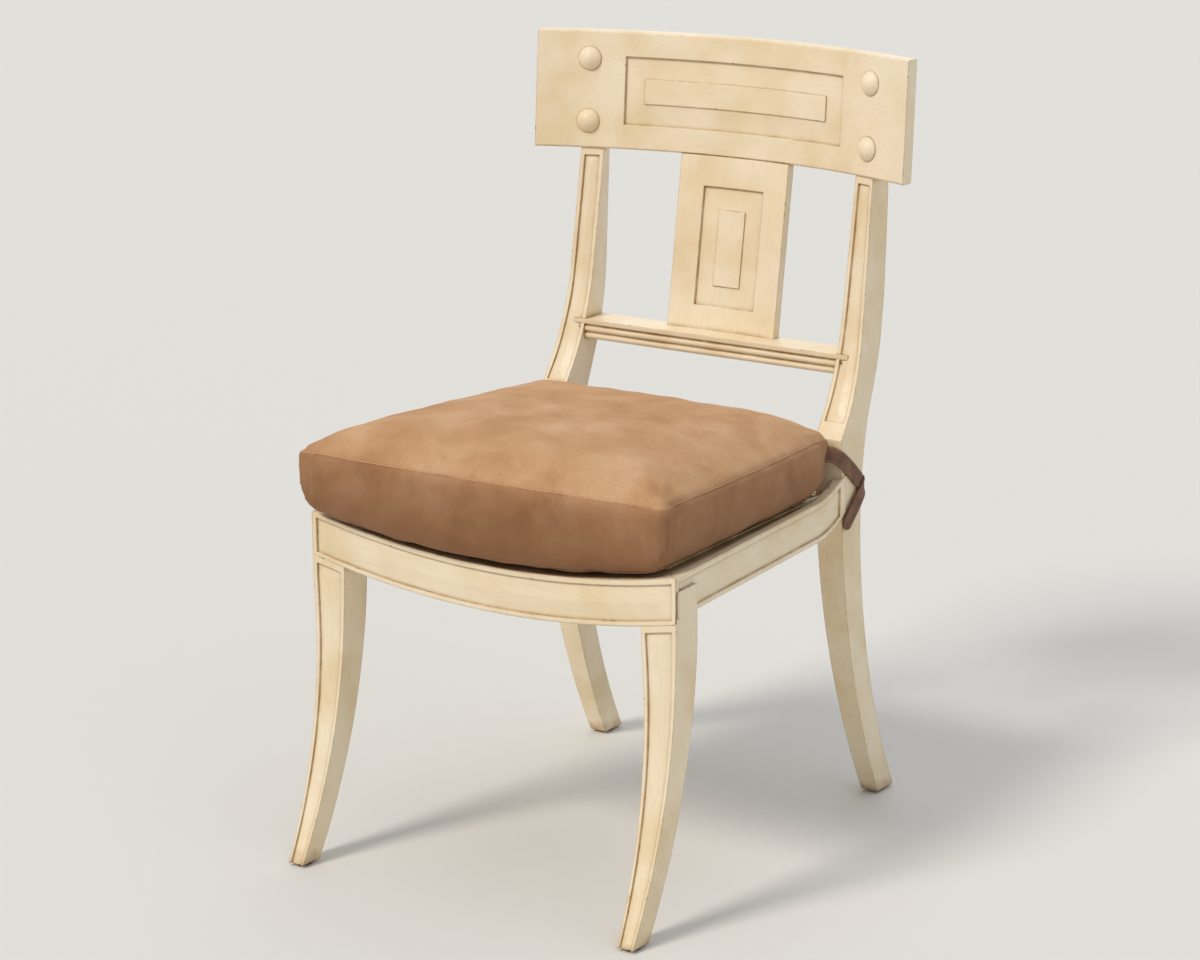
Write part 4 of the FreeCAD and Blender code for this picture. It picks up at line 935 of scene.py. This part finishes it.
def tieRibbon(route, side, roundEnd):
    # the route mirrored to its side of the chair, with its frames and the width along it
    places = (np.array([place for place, _ in route]) + routeShift) / 1000
    ways = np.array([way for _, way in route], float)
    mirror = np.array([side, 1, 1])
    path = throughPoints(places * mirror, tie["rows"])
    out = unit(throughPoints(ways * mirror, tie["rows"]))
    across, out = pathFrames(path, out)
    travelled = np.concatenate([[0], np.cumsum(np.linalg.norm(np.diff(path, axis=0), axis=1))])
    left = np.ones(tie["rows"])
    if roundEnd:
        left = np.clip((travelled[-1] - travelled) / (tie["width"] / 2), 0, 1)
    share = np.sqrt(np.maximum(1 - (1 - left) ** 2, 0.02))
    return path, across, out, share


def tieBody(route, side, roundEnd):
    # a flat strap with rounded edges: the profile carried along, narrowing to a half circle at a free end
    path, across, out, share = tieRibbon(route, side, roundEnd)
    w, t, r = tie["width"] / 2, tie["thick"] / 2, tie["edge"] / 2
    profile = [(-w, -t * 0.4), (-w, t * 0.4), (-w + r * 0.5, t), (-w * 0.5, t * 0.92), (0, t * 0.9),
               (w * 0.5, t * 0.92), (w - r * 0.5, t), (w, t * 0.4), (w, -t * 0.4), (w - r * 0.5, -t),
               (0, -t), (-w + r * 0.5, -t)]
    return alongPath(path, across * share[:, None], out, profile)


def tieStitches(route, side, roundEnd):
    # a row of stitches inside each edge
    rows = []
    path, across, out, share = tieRibbon(route, side, roundEnd)
    for edge in (-1, 1):
        inset = (tie["width"] / 2 - tie["edge"]) * share[:, None]
        line = path + across * edge * inset + out * tie["thick"] / 2
        rows.append(stitchRow(line, across, out, tie["spacing"], tie["stitch"], tie["threadRadius"],
                              tie["lift"]))
    return np.concatenate(rows)


def makeTies():
    # the ties cross from the frame to the cushion
    for label, side in (("left", 1), ("right", -1)):
        bodies = np.array([tieBody(wrapRoute, side, False), tieBody(freeRoute, side, True)])
        seams = np.concatenate([tieStitches(wrapRoute, side, False), tieStitches(freeRoute, side, True)])
        strap = carriedPiece("tie_strap_" + label, bodies, strapSuede, sharpAngle=60.0)
        thread = carriedPiece("tie_stitching_" + label, seams, strapThread)
        for piece in (strap, thread):
            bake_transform(piece)
        if label == "left":
            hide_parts("tie_straps")


makeTies()
print("ties sewn")


# studio and camera

studio = {
    "floor": "#DEDDDA", "sky": "#EEF1F5", "skyStrength": 0.40, "backdrop": "#E6E6E4", "reach": 60.0,
    # each light's name, the way it stands from the chair, strength, width in degrees and colour
    "suns": [("keyLight", (-0.24, -0.68, 0.69), 1.80, 16.0, "#FFF8EE"),
             ("sideFill", (0.90, -0.25, 0.45), 0.38, 50.0, "#EAF0FA"),
             ("ceiling", (0.10, 0.15, 1.00), 0.62, 70.0, "#FFFFFF"),
             ("backFill", (-0.45, 0.85, 0.50), 0.40, 50.0, "#F4F2EE")],
}


def makeStudio():
    # a wide pale floor, four broad lights, and a sky that lights softly but is seen as a pale wall
    scene = bpy.context.scene
    reach = studio["reach"]
    corners = [(-reach, -reach, 0), (reach, -reach, 0), (reach, reach, 0), (-reach, reach, 0)]
    material, _, shader = newMaterial("paleFloor")
    shader.inputs["Base Color"].default_value = toLinear(studio["floor"])
    shader.inputs["Roughness"].default_value = 0.9
    shader.inputs["Specular IOR Level"].default_value = 0.1
    mesh = bpy.data.meshes.new("floor")
    mesh.from_pydata(corners, [], [(0, 1, 2, 3)])
    mesh.materials.append(material)
    floor = bpy.data.objects.new("floor", mesh)
    scene.collection.objects.link(floor)
    for name, way, strength, angle, colour in studio["suns"]:
        light = bpy.data.lights.new(name, "SUN")
        light.energy = strength
        light.angle = math.radians(angle)
        light.color = toLinear(colour)[:3]
        lamp = bpy.data.objects.new(name, light)
        lamp.rotation_euler = Vector(way).to_track_quat("Z", "Y").to_euler()
        scene.collection.objects.link(lamp)
    world = bpy.data.worlds.new("studio")
    scene.world = world
    world.use_nodes = True
    tree = world.node_tree
    tree.nodes.clear()
    path = addNode(tree, "LightPath")
    seen = addNode(tree, "Math", None, {0: path.outputs["Is Camera Ray"], 1: path.outputs["Is Glossy Ray"]},
                   operation="MAXIMUM").outputs[0]
    seen = addNode(tree, "Math", None, {0: seen, 1: path.outputs["Is Transmission Ray"]},
                   operation="MAXIMUM").outputs[0]
    sky = addNode(tree, "Background", {"Color": toLinear(studio["sky"]), "Strength": studio["skyStrength"]})
    wall = addNode(tree, "Background", {"Color": toLinear(studio["backdrop"]), "Strength": 1.0})
    mixed = addNode(tree, "MixShader", None, {0: seen, 1: sky.outputs[0], 2: wall.outputs[0]})
    addNode(tree, "OutputWorld", None, {0: mixed.outputs[0]})
    scene.view_settings.view_transform = "Standard"


photoCamera = {
    "place": (2.1842, -3.185032, 1.4759), "yaw": 34.563, "pitch": -15.201, "roll": -0.506,
    "focalPixels": 3458.32, "imageWidth": 1200, "sensor": 36.0,
}


def makeCamera():
    # forward from yaw and pitch, then right and up turned about it by the roll
    yaw, pitch, roll = (math.radians(photoCamera[key]) for key in ("yaw", "pitch", "roll"))
    forward = Vector((-math.sin(yaw) * math.cos(pitch), math.cos(yaw) * math.cos(pitch), math.sin(pitch)))
    right = forward.cross(Vector((0, 0, 1))).normalized()
    up = right.cross(forward)
    rolledRight = right * math.cos(roll) + up * math.sin(roll)
    rolledUp = up * math.cos(roll) - right * math.sin(roll)
    data = bpy.data.cameras.new("photoCamera")
    data.sensor_width = photoCamera["sensor"]
    data.lens = photoCamera["focalPixels"] / photoCamera["imageWidth"] * photoCamera["sensor"]
    data.clip_end = 200.0
    camera = bpy.data.objects.new("photoCamera", data)
    bpy.context.scene.collection.objects.link(camera)
    turn = Matrix((rolledRight, rolledUp, -forward)).transposed().to_4x4()
    camera.matrix_world = Matrix.Translation(photoCamera["place"]) @ turn
    bpy.context.scene.camera = camera


makeStudio()
makeCamera()
print("studio and camera set")
